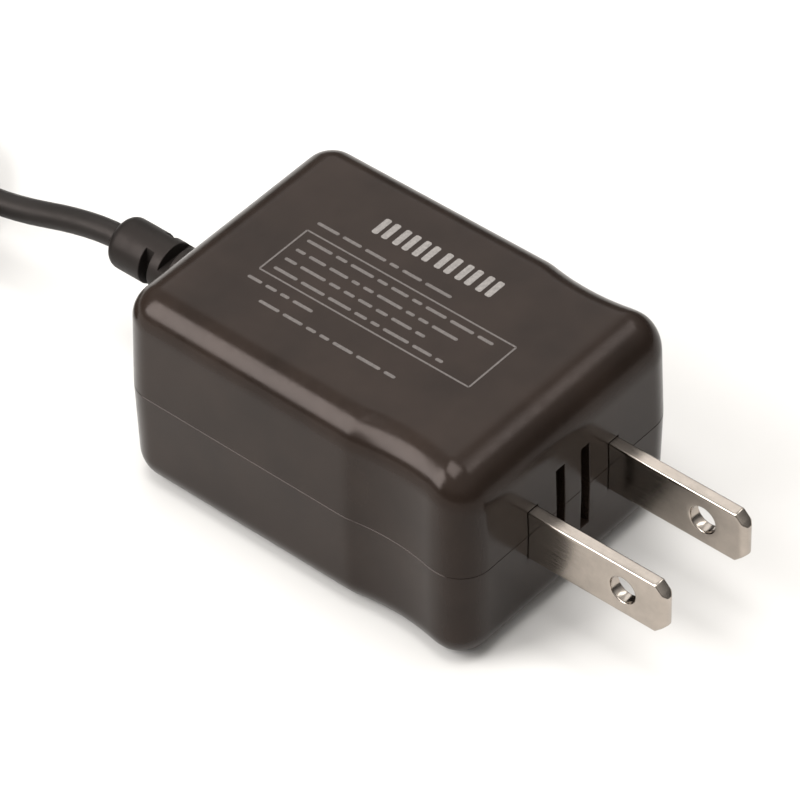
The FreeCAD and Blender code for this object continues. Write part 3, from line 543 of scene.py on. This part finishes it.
class ADAPTER_OT_cord(Operator):
    """Lay the output cord from the strain relief through its coil to the plug"""
    bl_idname = "adapter.cord"
    bl_label = "Cord"

    def execute(self, context):
        cord = context.scene.adapter_cord
        plug = context.scene.adapter_plug
        heading = Vector((math.cos(plug.heading), math.sin(plug.heading), 0.0))
        lead = [Vector(RELIEF_END)] + [Vector((x, RELIEF_END[1] + y, z)) for x, y, z in LEAD_ROUTE]
        coil = [Vector(point) for point in coil_points(cord)]
        tail = [Vector(COIL_MIDDLE) + Vector(point) for point in TAIL_ROUTE]
        ending = [Vector(PLUG_START) - PLUG_RUN * heading, Vector(PLUG_START)]
        route = lead + coil + tail + ending

        data = bpy.data.curves.new("output_cord", "CURVE")
        data.dimensions = "3D"
        spline = data.splines.new("NURBS")
        spline.points.add(len(route) - 1)
        spline.points.foreach_set("co", [part for point in route for part in (*point, 1.0)])
        spline.order_u = 3
        spline.use_endpoint_u = True
        spline.resolution_u = 6
        data.bevel_depth = cord.diameter / 2
        data.bevel_resolution = 5
        data.use_fill_caps = True
        jacket = context.scene.adapter_finishes.cord
        data.materials.append(moulded("cord_jacket", jacket, (0.38, 0.52), 4200.0, 0.000008))
        made = placed("output_cord", data)
        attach(made, "root")
        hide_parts("cord_lead", "cord_coil", "cord_tail")
        return {"FINISHED"}


# Case

# Radius of the recesses' lips, and places across such a lip, from outside it to inside
LIP = 0.0001
EDGE_STEPS = np.array([-0.10, -0.085, -0.06, -0.03, -0.008, 0.0, 0.035]) * 0.001
# Radius of the corners inside the case
INNER_CORNER = 0.0017
# Columns and rows between the recesses' edges, and where the rows over the recesses start
MORE_COLUMNS = (0.0, 0.0006, 0.0036, 0.0045, 0.0085, 0.0097)
MORE_ROWS = (0.0008, 0.0016, 0.0024, 0.0042, 0.0050)
OVER_RECESSES = 0.0062


def rounding(distance, depth):
    """Depth of a recess at a distance inside its edge: a quarter round of the lip, then a steep wall."""
    turn = np.clip(distance + LIP, 0.0, LIP)
    lip = LIP - np.sqrt(np.maximum(LIP ** 2 - turn ** 2, 0.0))
    return np.where(distance > 0.00002, depth, lip)


def scoop(case, along):
    """Depth of a finger scoop: a circle's bow, which runs out at each end in a small one the other way."""
    t = np.abs(along - case.scoop_middle)
    bow, blend = case.scoop_bow, case.scoop_blend
    floor = bow - case.scoop_depth
    # the small circle touches the big one and the flat wall
    span = math.sqrt((bow + blend) ** 2 - (floor + blend) ** 2)
    meeting = span * bow / (bow + blend)
    inside = np.sqrt(np.maximum(bow ** 2 - t ** 2, 0.0)) - floor
    ends = blend - np.sqrt(np.maximum(blend ** 2 - np.clip(span - t, 0.0, blend) ** 2, 0.0))
    return np.where(t < meeting, inside, np.where(t < span, ends, 0.0))


def case_half(case, spacing, upper):
    """One moulded half as a closed surface of rings, from the inside over the seam to the outside.

    A ring is the plan's rounded rectangle, drawn in by the draft and by the edge's fillet at its
    height. In the fillet the four corners' radii shrink with the cosine of its angle, and each side
    goes in by its own radius, so sides of unlike radii meet in one corner. Where the ring crosses a
    finger scoop, a slot or a blade's opening, it is pushed in by that recess's depth.
    """
    rise = TOP - PARTING if upper else PARTING
    half, deep, corner, lean = case.width / 2, case.depth, case.side_edge, case.draft
    edges = (case.side_edge, case.front_top_edge if upper else case.front_low_edge, case.back_edge)
    recesses = ((case.slot_middle, case.slot_width, case.slot_reach, case.slot_depth),
                (spacing / 2, case.way_width, case.way_reach, case.way_depth))

    # columns of the front, close together at the recesses' edges
    marks = [MORE_COLUMNS]
    for middle, width, _, _ in recesses:
        low, high = middle - width / 2, middle + width / 2
        marks += [low + EDGE_STEPS, high - EDGE_STEPS, np.linspace(low, high, 5)[1:-1]]
    marks = np.concatenate(marks)
    marks = np.unique(np.round(np.concatenate([-marks, marks]), 7))
    outside = np.linspace(0.0, 1.0, 6)[1:-1]
    along = np.linspace(0.0, 1.0, 82)[1:-1]
    across = np.linspace(1.0, -1.0, 18)[1:-1]
    turns = [arc(0, 90, 15) + start for start in np.radians((-90, 0, 90, 180))]
    bends = [(np.cos(turn), np.sin(turn)) for turn in turns]

    def columns(insets, radius, mid_half, front, back):
        """x, y and plan direction of each column of a ring with those insets and corner radius.

        They go along the front from left to right, round the right corner, along the side, and on.
        """
        side_in, front_in, back_in = insets
        reach = mid_half - side_in - radius
        low, high = front + front_in + radius, back - back_in - radius
        right = marks[-1] + (reach - marks[-1]) * outside
        side = low + (high - low) * along
        runs = ((np.concatenate([-right[::-1], marks, right]), low, 0.0, -1.0), (reach, low, *bends[0]),
                (reach, side, 1.0, 0.0), (reach, high, *bends[1]),
                (across * reach, high, 0.0, 1.0), (-reach, high, *bends[2]),
                (-reach, side[::-1], -1.0, 0.0), (-reach, low, *bends[3]))
        x, y, nx, ny = np.hstack([np.stack(np.broadcast_arrays(*run)) for run in runs])
        return x + radius * nx, y + radius * ny, nx, ny

    def fillet(radius, turn):
        """Inset and height of an edge's fillet at an angle from the drafted wall up to the flat face."""
        mid = (radius + (rise - radius) * math.sin(lean)) / math.cos(lean)
        return mid - radius * math.cos(turn), rise - radius + radius * math.sin(turn)

    rings = []

    def add_ring(x, y, height):
        """A ring at a height over or under the parting line, narrowed towards the back."""
        x = x * (1 - case.narrowing / case.width * y / deep)
        z = PARTING + (height if upper else -height)
        rings.append(np.stack(np.broadcast_arrays(x, y + PLUG_FACE, z), -1))

    def outer_ring(insets, heights, radius, seam_in=0.0):
        """A ring with those insets and heights of the sides, the front and the back.

        The scoops push in by their depth times the twelfth power of the share of the half width, so
        that they fade out on the front, the back and the flat face.
        """
        x, y, _, ny = columns([part + seam_in for part in insets], radius, half, 0.0, deep)
        height = heights[0] * (1 - ny ** 2) + np.where(ny < 0, heights[1], heights[2]) * ny ** 2
        x = x - np.sign(x) * scoop(case, y) * (np.abs(x) / np.abs(x).max()) ** 12
        recess = np.zeros_like(x)
        for middle, width, reach, depth in recesses:
            inside = np.minimum(width / 2 - np.abs(np.abs(x) - middle), reach - height)
            recess = np.maximum(recess, rounding(inside, depth))
        add_ring(x, y + np.where(ny < -0.999, recess, 0.0), height)

    # inner surface from its middle to the seam
    inner_half, inner_back = half - case.narrowing / 2 - case.wall, deep - case.wall
    x, y, _, _ = columns((0.0, 0.0, 0.0), INNER_CORNER, inner_half, case.front_wall, inner_back)
    mid = (case.front_wall + inner_back) / 2
    for share, level in ((0.02, 1.0), (0.5, 1.0), (1.0, 1.0), (1.0, 0.5), (1.0, 0.0)):
        add_ring(x * share, mid + (y - mid) * share, (rise - case.wall) * level)

    # seam, wall, fillet and outer face
    starts = [fillet(radius, lean)[1] for radius in edges]
    lines = [0.0, case.seam / 2, case.seam, *MORE_ROWS, *(case.way_reach - EDGE_STEPS),
             *(case.slot_reach - EDGE_STEPS), *np.linspace(OVER_RECESSES, starts[1], 5)]
    for line in np.unique(np.round(lines, 7)):
        heights = [start * (line / starts[1]) for start in starts]
        insets = [height * math.tan(lean) for height in heights]
        outer_ring(insets, heights, corner, max(0.0, case.seam - line))
    for turn in np.linspace(lean, math.pi / 2, 15)[1:]:
        insets, heights = zip(*(fillet(radius, turn) for radius in edges))
        outer_ring(insets, heights, corner * max(math.cos(turn), 0.0) / math.cos(lean))
    last = rings[-1]
    mid = last.mean(0)
    for share in (0.85, 0.6, 0.3, 0.02):
        rings.append(mid + (last - mid) * share)
        rings[-1][:, 2] = last[:, 2]
    return grid(rings)


class ADAPTER_OT_case(Operator):
    """Mould the two halves of the case"""
    bl_idname = "adapter.case"
    bl_label = "Case"

    def execute(self, context):
        case = context.scene.adapter_case
        spacing = context.scene.adapter_blades.spacing
        finish = moulded("case_plastic", context.scene.adapter_finishes.case)
        for name, upper, node in (("case_top", True, "upper_shell"),
                                  ("case_base", False, "lower_shell")):
            piece(name, [case_half(case, spacing, upper)], finish, 32.0, [node])
        return {"FINISHED"}


# Marks on top

# The frame's left, right, back and front
FRAME = (-0.0046, 0.0028, 0.0147, -0.0127)
# Rows of small marks: the place across the case, where a row starts and ends, and its seed
ROWS = (
    (0.00165, 0.0137, -0.0117, 10), (-0.0001, 0.0137, -0.0092, 11), (-0.0018, 0.0137, -0.0047, 12),
    (-0.0035, 0.0137, -0.0111, 13), (0.0043, 0.0146, -0.0053, 21), (-0.0061, 0.0149, 0.0047, 22),
    (-0.0082, 0.0116, -0.0077, 23),
)
ROW_GAP = 0.00055
# The large marks: the place across the case, the middles of the pairs, and half a pair's spacing
TITLE_PLACE = 0.0080
PAIRS = (0.0086, 0.0059, 0.0033, 0.0004, -0.0023, -0.0050)
PAIR_HALF = 0.00062


def ink_bar(x, y, size_x, size_y, height, corner=0.3):
    """A flat bar with cut corners, standing on the top face."""
    cut = corner * min(size_x, size_y)
    hx, hy = size_x / 2, size_y / 2
    ring = np.array([(hx, -hy + cut), (hx, hy - cut), (hx - cut, hy), (-hx + cut, hy),
                     (-hx, hy - cut), (-hx, -hy + cut), (-hx + cut, -hy), (hx - cut, -hy)]) + (x, y)
    low = np.column_stack([ring, np.full(8, TOP - 0.00002)])
    high = np.column_stack([ring, np.full(8, TOP + height)])
    return grid([low, high])


def marks_row(x, start, end, size, height, seed):
    """Plain bars of uneven length in a row along the case, as far as its end."""
    bars, y = [], start
    for long in np.random.default_rng(seed).uniform(0.0009, 0.0034, 40):
        if y - long < end:
            break
        bars.append(ink_bar(x, y - long / 2, size, long, height))
        y -= long + ROW_GAP
    return bars


class ADAPTER_OT_print(Operator):
    """Print plain bars and a thin frame on top, where an adapter has its rating table"""
    bl_idname = "adapter.print"
    bl_label = "Marks"

    def execute(self, context):
        ink = context.scene.adapter_print
        left, right, back, front = FRAME
        long, wide = back - front, right - left
        bars = [ink_bar(x, (back + front) / 2, ink.line, long, ink.height) for x in (left, right)]
        bars += [ink_bar((left + right) / 2, y, wide, ink.line, ink.height) for y in (back, front)]
        for x, start, end, seed in ROWS:
            bars += marks_row(x, start, end, ink.row_height, ink.height, seed)
        strokes = [ink_bar(TITLE_PLACE, y + aside, ink.title_height, ink.stroke, ink.height, 0.2)
                   for y in PAIRS for aside in (-PAIR_HALF, PAIR_HALF)]
        finishes = context.scene.adapter_finishes
        for name, marks, tint in (("top_marks", bars, finishes.ink),
                                  ("top_title", strokes, finishes.title)):
            nodes = Nodes(name + "_ink")
            patchy = nodes.noise(2600.0, 4.0, 0.7)
            tone = nodes.blend(nodes.ranged(patchy), tinted(tint, 0.55), tint)
            finish = nodes.surface(Base_Color=tone, Roughness=nodes.ranged(patchy, 0.45, 0.62))
            piece(name, marks, finish, 35.0, ())
        return {"FINISHED"}


# Blades

# The bar of the shoulders inside the case: its start and end, and how far it stands out
SHOULDERS = (0.0041, 0.0057)
SHOULDER_OUT = 0.0011
# The blade's tail: how far it goes past the front wall, and half its width there
TAIL_RUN = 0.0078
TAIL_HALF = 0.0013
# Rounding of the hole's rim
HOLE_RIM = 0.00015
# Rings on the flat: how far in from the outline, and how far out from the hole
FLAT_STEPS = (0.00045, 0.0009)
HOLE_STEP = 0.0006


def outline_sides(corners):
    """Outward direction and distance of each side of a convex outline given counterclockwise."""
    corners = np.array(corners)
    along = np.roll(corners, -1, 0) - corners
    along = along / np.linalg.norm(along, axis=1, keepdims=True)
    normals = np.stack([along[:, 1], -along[:, 0]], -1)
    return normals, (normals * corners).sum(1)


def convex_reach(sides, turn, inset):
    """How far a ray at each angle goes before it meets a side of the outline, moved in by the inset."""
    normals, distances = sides
    toward = np.stack([np.cos(turn), np.sin(turn)], -1) @ normals.T
    return np.where(toward > 1e-9, (distances - inset) / np.maximum(toward, 1e-9), np.inf).min(1)


def quarter_round(radius):
    """Inset and drop of the points of a quarter round, from the rim to the flat."""
    return [(radius * (1 - math.cos(bend)), radius * (1 - math.sin(bend))) for bend in arc(0, 90, 5)]


def blade_surfaces(blades, case, side):
    """A blade with a hole, as rings on the rays from the hole's middle, and the bar of its shoulders.

    The rings go from the outline's edge over the rounded rim and the flat to the hole's rounded rim,
    through the hole and back over the other flat. The sheet's half thickness falls off in a straight
    bevel at the tip.
    """
    half, thick, hole_y = blades.width / 2, blades.thickness / 2, -blades.hole_place
    tip, cut, tail = -blades.out, blades.tip_chamfer, case.front_wall + TAIL_RUN
    upper = [(tail, TAIL_HALF), (SHOULDERS[0], half), (tip + cut, half), (tip, half - cut)]
    corners = [(y - hole_y, -z) for y, z in upper[::-1]] + [(y - hole_y, z) for y, z in upper]
    sides = outline_sides(corners)
    exact = [math.atan2(z, y) for y, z in corners]
    # rays closer together towards the tip's corners
    close = np.linspace(1.7, 2.85, 24)
    turn = np.concatenate([np.linspace(-math.pi, math.pi, 97)[:-1], exact, -close, close])
    turn = np.unique(np.round(turn, 5))

    hole = np.full(turn.shape, blades.hole_radius)
    flat = [(convex_reach(sides, turn, inset), drop) for inset, drop in quarter_round(blades.edge)]
    flat += [(convex_reach(sides, turn, inset), 0.0) for inset in FLAT_STEPS]
    flat += [(hole + HOLE_STEP, 0.0)]
    flat += [(hole + inset, drop) for inset, drop in quarter_round(HOLE_RIM)[::-1]]
    rings = []
    for face, order in ((1, flat), (-1, flat[::-1])):
        for reach, drop in order:
            y = reach * np.cos(turn)
            bevel = np.clip((y + hole_y - tip) / blades.tip_bevel, 0.0, 1.0)
            local = thick - blades.tip_bevel * (1 - bevel)
            rings.append(np.stack([face * np.maximum(local - drop, 0.0), y, reach * np.sin(turn)], -1))
    points, faces = grid(rings, closed=True)
    middle, wide = side * blades.spacing / 2, half + SHOULDER_OUT
    outline = ((thick, -wide), (thick, wide), (-thick, wide), (-thick, -wide))
    bar = [[(middle + x, PLUG_FACE + y, PARTING + z) for x, z in outline] for y in SHOULDERS]
    return [(points + (middle, PLUG_FACE + hole_y, PARTING), faces), grid(bar)]


class ADAPTER_OT_blades(Operator):
    """Stamp the two flat blades"""
    bl_idname = "adapter.blades"
    bl_label = "Blades"

    def execute(self, context):
        blades, case = context.scene.adapter_blades, context.scene.adapter_case
        finish = plated("blade_metal", context.scene.adapter_finishes.blade)
        for name, side in (("blade_left", -1), ("blade_right", 1)):
            piece(name + "_plated", blade_surfaces(blades, case, side), finish, 40.0, [name])
        return {"FINISHED"}


# Strain relief

# Where the flange inside the case starts and ends, from the case's back
FLANGE = (-0.0036, -0.002)
# Places across a slot's edge, from outside it to inside
SLOT_STEPS = np.array([-0.12, -0.09, -0.05, -0.015, 0.0, 0.012]) * 0.001


def relief_surface(relief, back):
    """The strain relief as rings along its axis.

    A ring is round with the outer radius. In a slot it is the part of that circle within the core's
    thickness, across or upright by turns. The end's edge is a quarter round.
    """
    # the angles at which a slot's flat meets the round have columns of their own on both sides
    corners = np.radians([k * 90 + d for k in range(4) for d in (29.6, 60.4)])
    turn = np.sort(np.concatenate([np.linspace(0, 2 * math.pi, 97)[:-1], corners]))
    profile = [(relief.flange, FLANGE[0]), (relief.flange, FLANGE[1]),
               (relief.neck, FLANGE[1] + 0.00001), (relief.neck, relief.gap - 0.00001)]
    slots = [relief.first_slot + index * relief.pitch for index in range(relief.slots)]

    def ring(y):
        """Radius at each angle for a place along the axis, with small roundings at the slots' edges."""
        outer = np.full(turn.shape, relief.radius)
        for index, low in enumerate(slots):
            flat = np.sin(turn) if index % 2 == 0 else np.cos(turn)
            core = np.minimum(relief.core / np.maximum(np.abs(flat), 1e-6), relief.radius)
            inside = min(y - low, low + relief.slot - y)
            edge = relief.edge
            if inside > 0.000001:
                outer = np.minimum(outer, core)
            elif inside > -edge:
                drop = edge - math.sqrt(max(edge ** 2 - (inside + edge) ** 2, 0.0))
                cut = core < relief.radius - 1e-7
                outer = np.where(cut, np.minimum(outer, relief.radius - drop), outer)
        return outer

    last = relief.out - relief.end_edge
    places = [relief.gap, *np.linspace(relief.first_slot + relief.slots * relief.pitch, last, 5)]
    for low in slots:
        high = low + relief.slot
        places += [*(low + SLOT_STEPS), *(high - SLOT_STEPS), *np.linspace(low, high, 4)[1:-1],
                   *np.linspace(high, low + relief.pitch, 6)[1:-1]]
    places = sorted(set(round(place, 7) for place in places if relief.gap <= place < last - 0.0001))
    profile += [(ring(place), place) for place in places]
    for bend in arc(0, 90, 9):
        profile.append((relief.radius - relief.end_edge * (1 - math.cos(bend)),
                        last + relief.end_edge * math.sin(bend)))
    rings = [np.broadcast_arrays(radius * np.cos(turn), back + y, PARTING + radius * np.sin(turn))
             for radius, y in profile]
    return grid(np.stack(rings).transpose(0, 2, 1))


class ADAPTER_OT_relief(Operator):
    """Mould the slotted strain relief at the back"""
    bl_idname = "adapter.relief"
    bl_label = "Strain relief"

    def execute(self, context):
        relief = context.scene.adapter_relief
        back = PLUG_FACE + context.scene.adapter_case.depth
        finish = moulded("relief_plastic", context.scene.adapter_finishes.relief, (0.40, 0.55), 3000.0,
                         0.000009)
        piece("strain_relief_moulded", [relief_surface(relief, back)], finish, 38.0, ["strain_relief"])
        return {"FINISHED"}


# Tie and plug

# Radii of the tie's bends round the coil and of its own edges
TIE_BEND = 0.0016
TIE_EDGE = 0.0002
# The grip: how far its waist lies in, the slope of the collar at its tail, how much the tail's radius
# grows, and the rounding of its corners, which is also the step between its rings
WAIST_DROP = 0.0007
COLLAR = 0.0008
TAIL_RISE = 0.0007
GRIP_STEP = 0.0004
# How far the grip and the sleeve reach into each other, and the rounding of the metal edges
OVERLAP = 0.0001
# How far the insulator sits back in the sleeve
INSULATOR_BACK = 0.0003


def rounded(half_a, half_b, corner, count):
    """Points of an oblong with round corners, counterclockwise, and the outward direction at each."""
    turn = np.concatenate([arc(start, start + 90, count) for start in (0, 90, 180, 270)])
    outward = np.stack([np.cos(turn), np.sin(turn)], -1)
    signs = np.repeat([(1, 1), (-1, 1), (-1, -1), (1, -1)], count, 0)
    return signs * (half_a - corner, half_b - corner) + corner * outward, outward


def tie_surface(cord):
    """A flat band carried round the coil's section. Both are oblongs with round corners."""
    half = cord.diameter * cord.rows / 2 + cord.tie_slack + cord.tie_thickness / 2
    tall = cord.diameter * cord.layers / 2 + cord.tie_slack + cord.tie_thickness / 2
    path, outward = rounded(half, tall, TIE_BEND, 9)
    section, _ = rounded(cord.tie_thickness / 2, cord.tie_width / 2, TIE_EDGE, 4)
    mid = (COIL_MIDDLE[0] - cord.coil_radius, COIL_MIDDLE[1],
           cord.coil_lift + cord.diameter * cord.layers / 2)
    flat = path[:, None, :] + outward[:, None, :] * section[None, :, :1]
    y = np.broadcast_to(section[None, :, 1], flat.shape[:2])
    return grid(np.stack([mid[0] + flat[..., 0], mid[1] + y, mid[2] + flat[..., 1]], -1), closed=True)


def turned(profile, heading, wave=None, around=72):
    """Rings of points: a profile of distances and radii turned about the plug's axis.

    The wave, if there is one, gives a factor for the radius from the distance and the angle.
    """
    turn = np.linspace(0, 2 * math.pi, around + 1)[:-1]
    ahead = np.array([math.cos(heading), math.sin(heading), 0.0])
    aside = np.array([-math.sin(heading), math.cos(heading), 0.0])
    rows = []
    for distance, radius in profile:
        size = radius * (np.ones_like(turn) if wave is None else wave(distance, turn))
        rows.append(np.array(PLUG_START) + ahead * distance + size[:, None] *
                    (np.cos(turn)[:, None] * aside + np.sin(turn)[:, None] * np.array([0.0, 0.0, 1.0])))
    return rows


def softened(corners, radius):
    """A profile's corners, each replaced by a small parabola that starts and ends that far from it."""
    corners = [np.array(corner) for corner in corners]
    made = [corners[0]]
    for before, here, after in zip(corners, corners[1:], corners[2:]):
        back, ahead = before - here, after - here
        reach = min(radius, 0.45 * np.linalg.norm(back), 0.45 * np.linalg.norm(ahead))
        start = here + back / np.linalg.norm(back) * reach
        end = here + ahead / np.linalg.norm(ahead) * reach
        for t in np.linspace(0, 1, 5):
            made.append((1 - t) ** 2 * start + 2 * t * (1 - t) * here + t ** 2 * end)
    made.append(corners[-1])
    return made


class ADAPTER_OT_plug(Operator):
    bl_idname = "adapter.plug"
    bl_label = "Plug and tie"

    def execute(self, context):
        plug, cord = context.scene.adapter_plug, context.scene.adapter_cord
        finishes = context.scene.adapter_finishes
        tie = moulded("tie_plastic", finishes.relief, (0.42, 0.6), 2600.0)
        made = [piece("coil_tie_band", [tie_surface(cord)], tie, 40.0, ["coil_tie"])]

        grip, front, end = plug.grip_radius, plug.grip_length, plug.grip_length + plug.sleeve_length
        tail, waist, neck = plug.tail_length, plug.grip_radius - WAIST_DROP, plug.tail_length - COLLAR
        corners = [(0, cord.diameter / 2), (0, plug.tail_radius), (neck, plug.tail_radius + TAIL_RISE),
                   (neck, grip - 0.0012), (tail, grip), (tail + 0.002, waist), (front - 0.008, waist),
                   (front - 0.006, grip), (front - 0.001, grip), (front, grip - 0.001),
                   (front, plug.sleeve_radius - OVERLAP)]
        profile = softened(corners, GRIP_STEP)
        dense = []
        for here, after in zip(profile, profile[1:]):
            steps = max(1, int(abs(after[0] - here[0]) / GRIP_STEP))
            dense += [here + (after - here) * share for share in np.linspace(0, 1, steps + 1)[:-1]]
        dense.append(profile[-1])

        def fluted(distance, turn):
            """Twenty-four shallow flutes on the waist of the grip."""
            span = np.clip(min(distance - tail - 0.0022, front - 0.0082 - distance) / 0.0008, 0.0, 1.0)
            return 1 + 0.035 * span * (0.5 + 0.5 * np.cos(24 * turn))

        rubber = moulded("grip_plastic", finishes.cord, (0.36, 0.5), 3400.0)
        body = grid(turned(dense, plug.heading, fluted, 192))
        made.append(piece("plug_grip_moulded", [body], rubber, 40.0, ["plug_grip"]))

        # rings about the axis: name, node, slot, finish, and the start, end and radii of the section
        seat = front - plug.sleeve_length / 2
        contact, inner = plug.bore + plug.contact_wall, plug.sleeve_radius - plug.sleeve_wall
        even = {"along": (1, 1, 1), "grain": 2400.0, "stain": 0.85}
        for name, node, slot, finish, start, stop, low, high in (
                ("plug_sleeve_plated", "plug_sleeve", "sleeve_metal",
                 plated("sleeve_metal", (0.66, 0.64, 0.60), (0.12, 0.24), **even),
                 front - OVERLAP, end, inner, plug.sleeve_radius),
                ("plug_insulator_moulded", "plug_insulator", "insulator_plastic",
                 moulded("insulator_plastic", (0.035, 0.034, 0.034), (0.4, 0.5)),
                 seat, end - INSULATOR_BACK, contact, inner),
                ("plug_contact_plated", "plug_contact", "contact_metal",
                 plated("contact_metal", (0.70, 0.55, 0.30), (0.14, 0.26), **even),
                 seat, end - plug.recess, plug.bore, contact)):
            corners = [(start, low), (start, high), (stop, high), (stop, low), (start, low)]
            section = grid(turned(softened(corners, OVERLAP)[1:-1], plug.heading), closed=True)
            made.append(piece(name, [section], finish, 40.0, [node]))
        return {"FINISHED"}


# Inner parts

class ADAPTER_OT_inside(Operator):
    """Give the board and its parts their finishes"""
    bl_idname = "adapter.inside"
    bl_label = "Inner parts"

    def execute(self, context):
        for finish, names in (
                (laminate("board_laminate", (0.05, 0.16, 0.06)), "circuit_board"),
                (plated("wire_metal", (0.72, 0.70, 0.66), (0.2, 0.35), (1, 1, 1)),
                 "input_wire_left input_wire_right"),
                (moulded("resistor_lacquer", (0.10, 0.22, 0.25), (0.22, 0.32), 1500.0),
                 "fusible_resistor startup_resistor snubber_resistor"),
                (moulded("diode_epoxy", (0.018, 0.018, 0.019), (0.35, 0.5), 2800.0),
                 "rectifier_diode_1 rectifier_diode_2 rectifier_diode_3 rectifier_diode_4 snubber_diode "
                 "output_diode"),
                (moulded("chip_epoxy", (0.022, 0.022, 0.023), (0.5, 0.62), 3600.0, 0.00001),
                 "control_chip optocoupler voltage_reference"),
                (pressed("ferrite", (0.045, 0.043, 0.045)),
                 "choke_core transformer_core_front transformer_core_back"),
                (wound("copper_winding", (0.70, 0.28, 0.12)), "choke_winding transformer_winding"),
                (moulded("capacitor_sleeve", (0.02, 0.03, 0.07), (0.18, 0.28), 1800.0),
                 "input_capacitor_1 input_capacitor_2 bias_capacitor output_capacitor_1 "
                 "output_capacitor_2"),
                (moulded("disc_lacquer", (0.03, 0.13, 0.34), (0.2, 0.3), 1600.0), "safety_capacitor"),
                (moulded("bobbin_resin", (0.05, 0.05, 0.048), (0.35, 0.45), 2600.0),
                 "transformer_bobbin"),
                (moulded("tape_film", (0.62, 0.46, 0.08), (0.2, 0.3), 900.0, 0.00002),
                 "transformer_tape"),
                (moulded("wire_red", (0.45, 0.02, 0.015), (0.3, 0.4), 2600.0), "output_wire_positive"),
                (moulded("wire_black", (0.02, 0.02, 0.02), (0.3, 0.4), 2600.0), "output_wire_negative")):
            for name in names.split():
                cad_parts[name].material_slots[0].material = finish
        return {"FINISHED"}


class ADAPTER_PT_builder(Panel):
    """Sizes of the adapter and the steps that build it"""
    bl_idname = "ADAPTER_PT_builder"
    bl_label = "Power adapter"
    bl_space_type = "VIEW_3D"
    bl_region_type = "UI"
    bl_category = "Adapter"

    def draw(self, context):
        for step in STEPS:
            self.layout.operator(step.bl_idname)
        for group_name, group in GROUPS.items():
            box = self.layout.box()
            box.label(text=group.__doc__)
            for name in group.__annotations__:
                box.prop(getattr(context.scene, group_name), name)


STEPS = (
    ADAPTER_OT_stage,
    ADAPTER_OT_cord,
    ADAPTER_OT_case,
    ADAPTER_OT_print,
    ADAPTER_OT_blades,
    ADAPTER_OT_relief,
    ADAPTER_OT_plug,
    ADAPTER_OT_inside,
)
CLASSES = (*GROUPS.values(), *STEPS, ADAPTER_PT_builder)


def register():
    for item in CLASSES:
        bpy.utils.register_class(item)
    for name, group in GROUPS.items():
        setattr(bpy.types.Scene, name, PointerProperty(type=group))


def unregister():
    for name in GROUPS:
        delattr(bpy.types.Scene, name)
    for item in reversed(CLASSES):
        bpy.utils.unregister_class(item)


def main():
    register()
    for step in STEPS:
        group, name = step.bl_idname.split(".")
        getattr(getattr(bpy.ops, group), name)()


if __name__ == "__main__":
    main()
